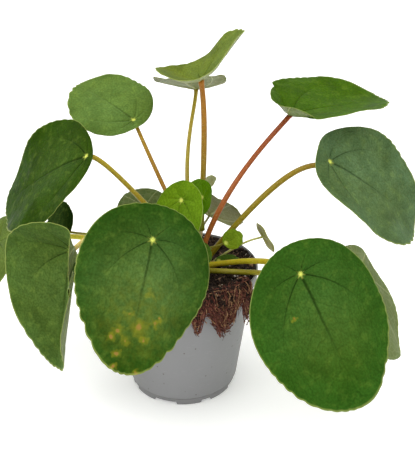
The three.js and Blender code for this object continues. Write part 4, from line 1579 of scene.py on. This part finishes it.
@dataclass
class Foliage:
    """All the leaves, each a blade and its stalk."""

    leaves: tuple[Leaf, ...] = LEAVES
    # Scorch spots of the speckled front leaf, each the way towards its tip, the way across, and a size.
    spots: tuple[Triple, ...] = (
        (34.8, 5.9, 1.3), (49.1, -5.3, 1.2), (55.9, 3.1, 2.4), (60.2, -10.8, 1.4), (65.1, -14.2, 1.3),
        (66, -4.1, 1.2), (52.3, 12.8, 1.2), (48.1, 14.7, 0.9), (64.1, 7.8, 1.1), (74.6, -7.5, 1.3),
        (82.8, -7.9, 1.0), (84.4, 7.6, 1.0),
    )
    # The one small spot of the marked leaf at the front right.
    mark: Triple = (24.0, -18.0, 0.8)

    def dress(self, bench: Bench) -> None:
        """Publish every blade and stalk.

        Args:
            bench: where pieces are made.
        """
        # Living leaf skin is waxed, so it is satin; a young leaf is glossier, smoother and less veined.
        skins = {
            BladeAge.MATURE: BladeUpperSkin("mature_leaf_upper"),
            BladeAge.YOUNG: BladeUpperSkin("young_leaf_upper", 0.42, 0.05, 0.4, 1.4, roughness=0.38),
            BladeAge.SPECKLED: BladeUpperSkin("speckled_leaf_upper", 0.45, 0.3, spots=self.spots),
            BladeAge.MARKED: BladeUpperSkin(
                "marked_leaf_upper", 0.32, veins=0.75, spots=(self.mark,), yellowing=0.05),
            # A skin without sheen, for the leaf painted as in shade.
            BladeAge.IN_PAINTED_SHADE: BladeUpperSkin("shade_painted_leaf_upper", sheen=0.0),
        }
        uppers = {age: skin.make() for age, skin in skins.items()}
        under = BladeUnderSkin("leaf_underside").make()
        stalk_skin = StalkSkin().make()
        for index, leaf in enumerate(self.leaves):
            bm = LeafBlade(leaf, index).build()
            tint = np.tile(np.array(linear(leaf.tint)), (len(bm.verts), 1))
            bench.publish(
                bm, f"leaf_{leaf.place}", [uppers[leaf.age], under], (f"blade_{leaf.place}",), tint)
            bm, along = LeafStalk(leaf).build()
            low, high = np.array(linear(leaf.stem.low)), np.array(linear(leaf.stem.high))
            tint = low + along[:, None] * (high - low)
            bench.publish(bm, f"stalk_{leaf.place}", [stalk_skin], (f"petiole_{leaf.place}",), tint)


# Studio


@dataclass
class Studio:
    """White paper floor, soft light all round with a soft key from the upper left, and the camera."""

    # The camera's place from the foot of the pot's axis, its turn to the right and down, and its lens.
    camera_offset: Triple = (0.0, -462.0, 348.0)
    yaw: float = 2.5
    pitch: float = 24.5
    focal: float = 52.8
    # Brightness of the light all round, at the horizon and overhead.
    horizon: float = 0.35
    zenith: float = 1.7
    # The key light: its watts, its width, and where it stands and aims from the foot of the pot's axis.
    key: float = 4.5
    key_size: float = 900.0
    key_place: Triple = (-700.0, -500.0, 1100.0)
    key_aim: Triple = (0.0, 0.0, 130.0)
    # Half the floor's width, in metres.
    floor_size: float = 12.0

    def lay_floor(self) -> None:
        """Lay the paper floor, which isn't a piece of the model."""
        bm = bmesh.new()
        bmesh.ops.create_grid(bm, x_segments=2, y_segments=2, size=self.floor_size)
        mesh = mesh_of("paper_floor", bm)
        mesh.materials.append(StudioPaper().make())
        floor = in_scene("paper_floor", mesh)
        floor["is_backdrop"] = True

    def light(self, axis: Vector) -> None:
        """Set up soft light all round, brighter from above, and the key light.

        Args:
            axis: where the pot stands.
        """
        world = bpy.data.worlds.new("soft_studio")
        world.use_nodes = True
        sky = world.node_tree
        way = add_node(sky, "TexCoord").outputs["Generated"]
        high = add_node(sky, "SeparateXYZ", (way,)).outputs["Z"]
        glow = add_node(sky, "MapRange", (high, 0.0, 0.9, self.horizon, self.zenith))
        sky.nodes["Background"].inputs["Color"].default_value = linear("#ffffff")
        sky.links.new(glow.outputs[0], sky.nodes["Background"].inputs["Strength"])
        bpy.context.scene.world = world
        lamp = bpy.data.lights.new("soft_key", "AREA")
        lamp.shape = "DISK"
        lamp.size = self.key_size * MM
        lamp.energy = self.key
        key = in_scene("soft_key", lamp)
        key.location = axis + Vector(self.key_place) * MM
        aim = axis + Vector(self.key_aim) * MM - key.location
        key.rotation_euler = aim.to_track_quat("-Z", "Y").to_euler()

    def place_camera(self, axis: Vector) -> None:
        """Put the camera where the photograph was taken from.

        Args:
            axis: where the pot stands.
        """
        lens = bpy.data.cameras.new("camera")
        lens.lens = self.focal
        lens.clip_start = 0.01
        camera = in_scene("camera", lens)
        camera.location = axis + Vector(self.camera_offset) * MM
        camera.rotation_euler = (math.radians(90 - self.pitch), 0.0, math.radians(-self.yaw))
        bpy.context.scene.camera = camera

    def build(self, bench: Bench) -> None:
        """Set up the floor, the lights and the camera.

        Args:
            bench: knows where the pot's axis is.
        """
        bpy.context.scene.view_settings.view_transform = "Standard"
        self.lay_floor()
        self.light(bench.axis)
        self.place_camera(bench.axis)
        LOG.info("studio set up")


def plain(bounds: object) -> list:
    """Turn nested vectors into plain lists of numbers."""
    return [plain(part) if hasattr(part, "__len__") else float(part) for part in bounds]


def main() -> None:
    """Build the pot, soil, coir, trunk, leaves and studio, and take the bounds before and after."""
    logging.basicConfig(level=logging.INFO, format="%(name)s: %(message)s")
    cad_box = plain(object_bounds())
    bench = Bench()
    for part in (NurseryPot(), PottingSoil(), CoirClump(), Trunk(), Foliage()):
        part.dress(bench)
    Studio().build(bench)
    {"cad": cad_box, "visual": plain(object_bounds())}


if __name__ == "__main__":
    main()
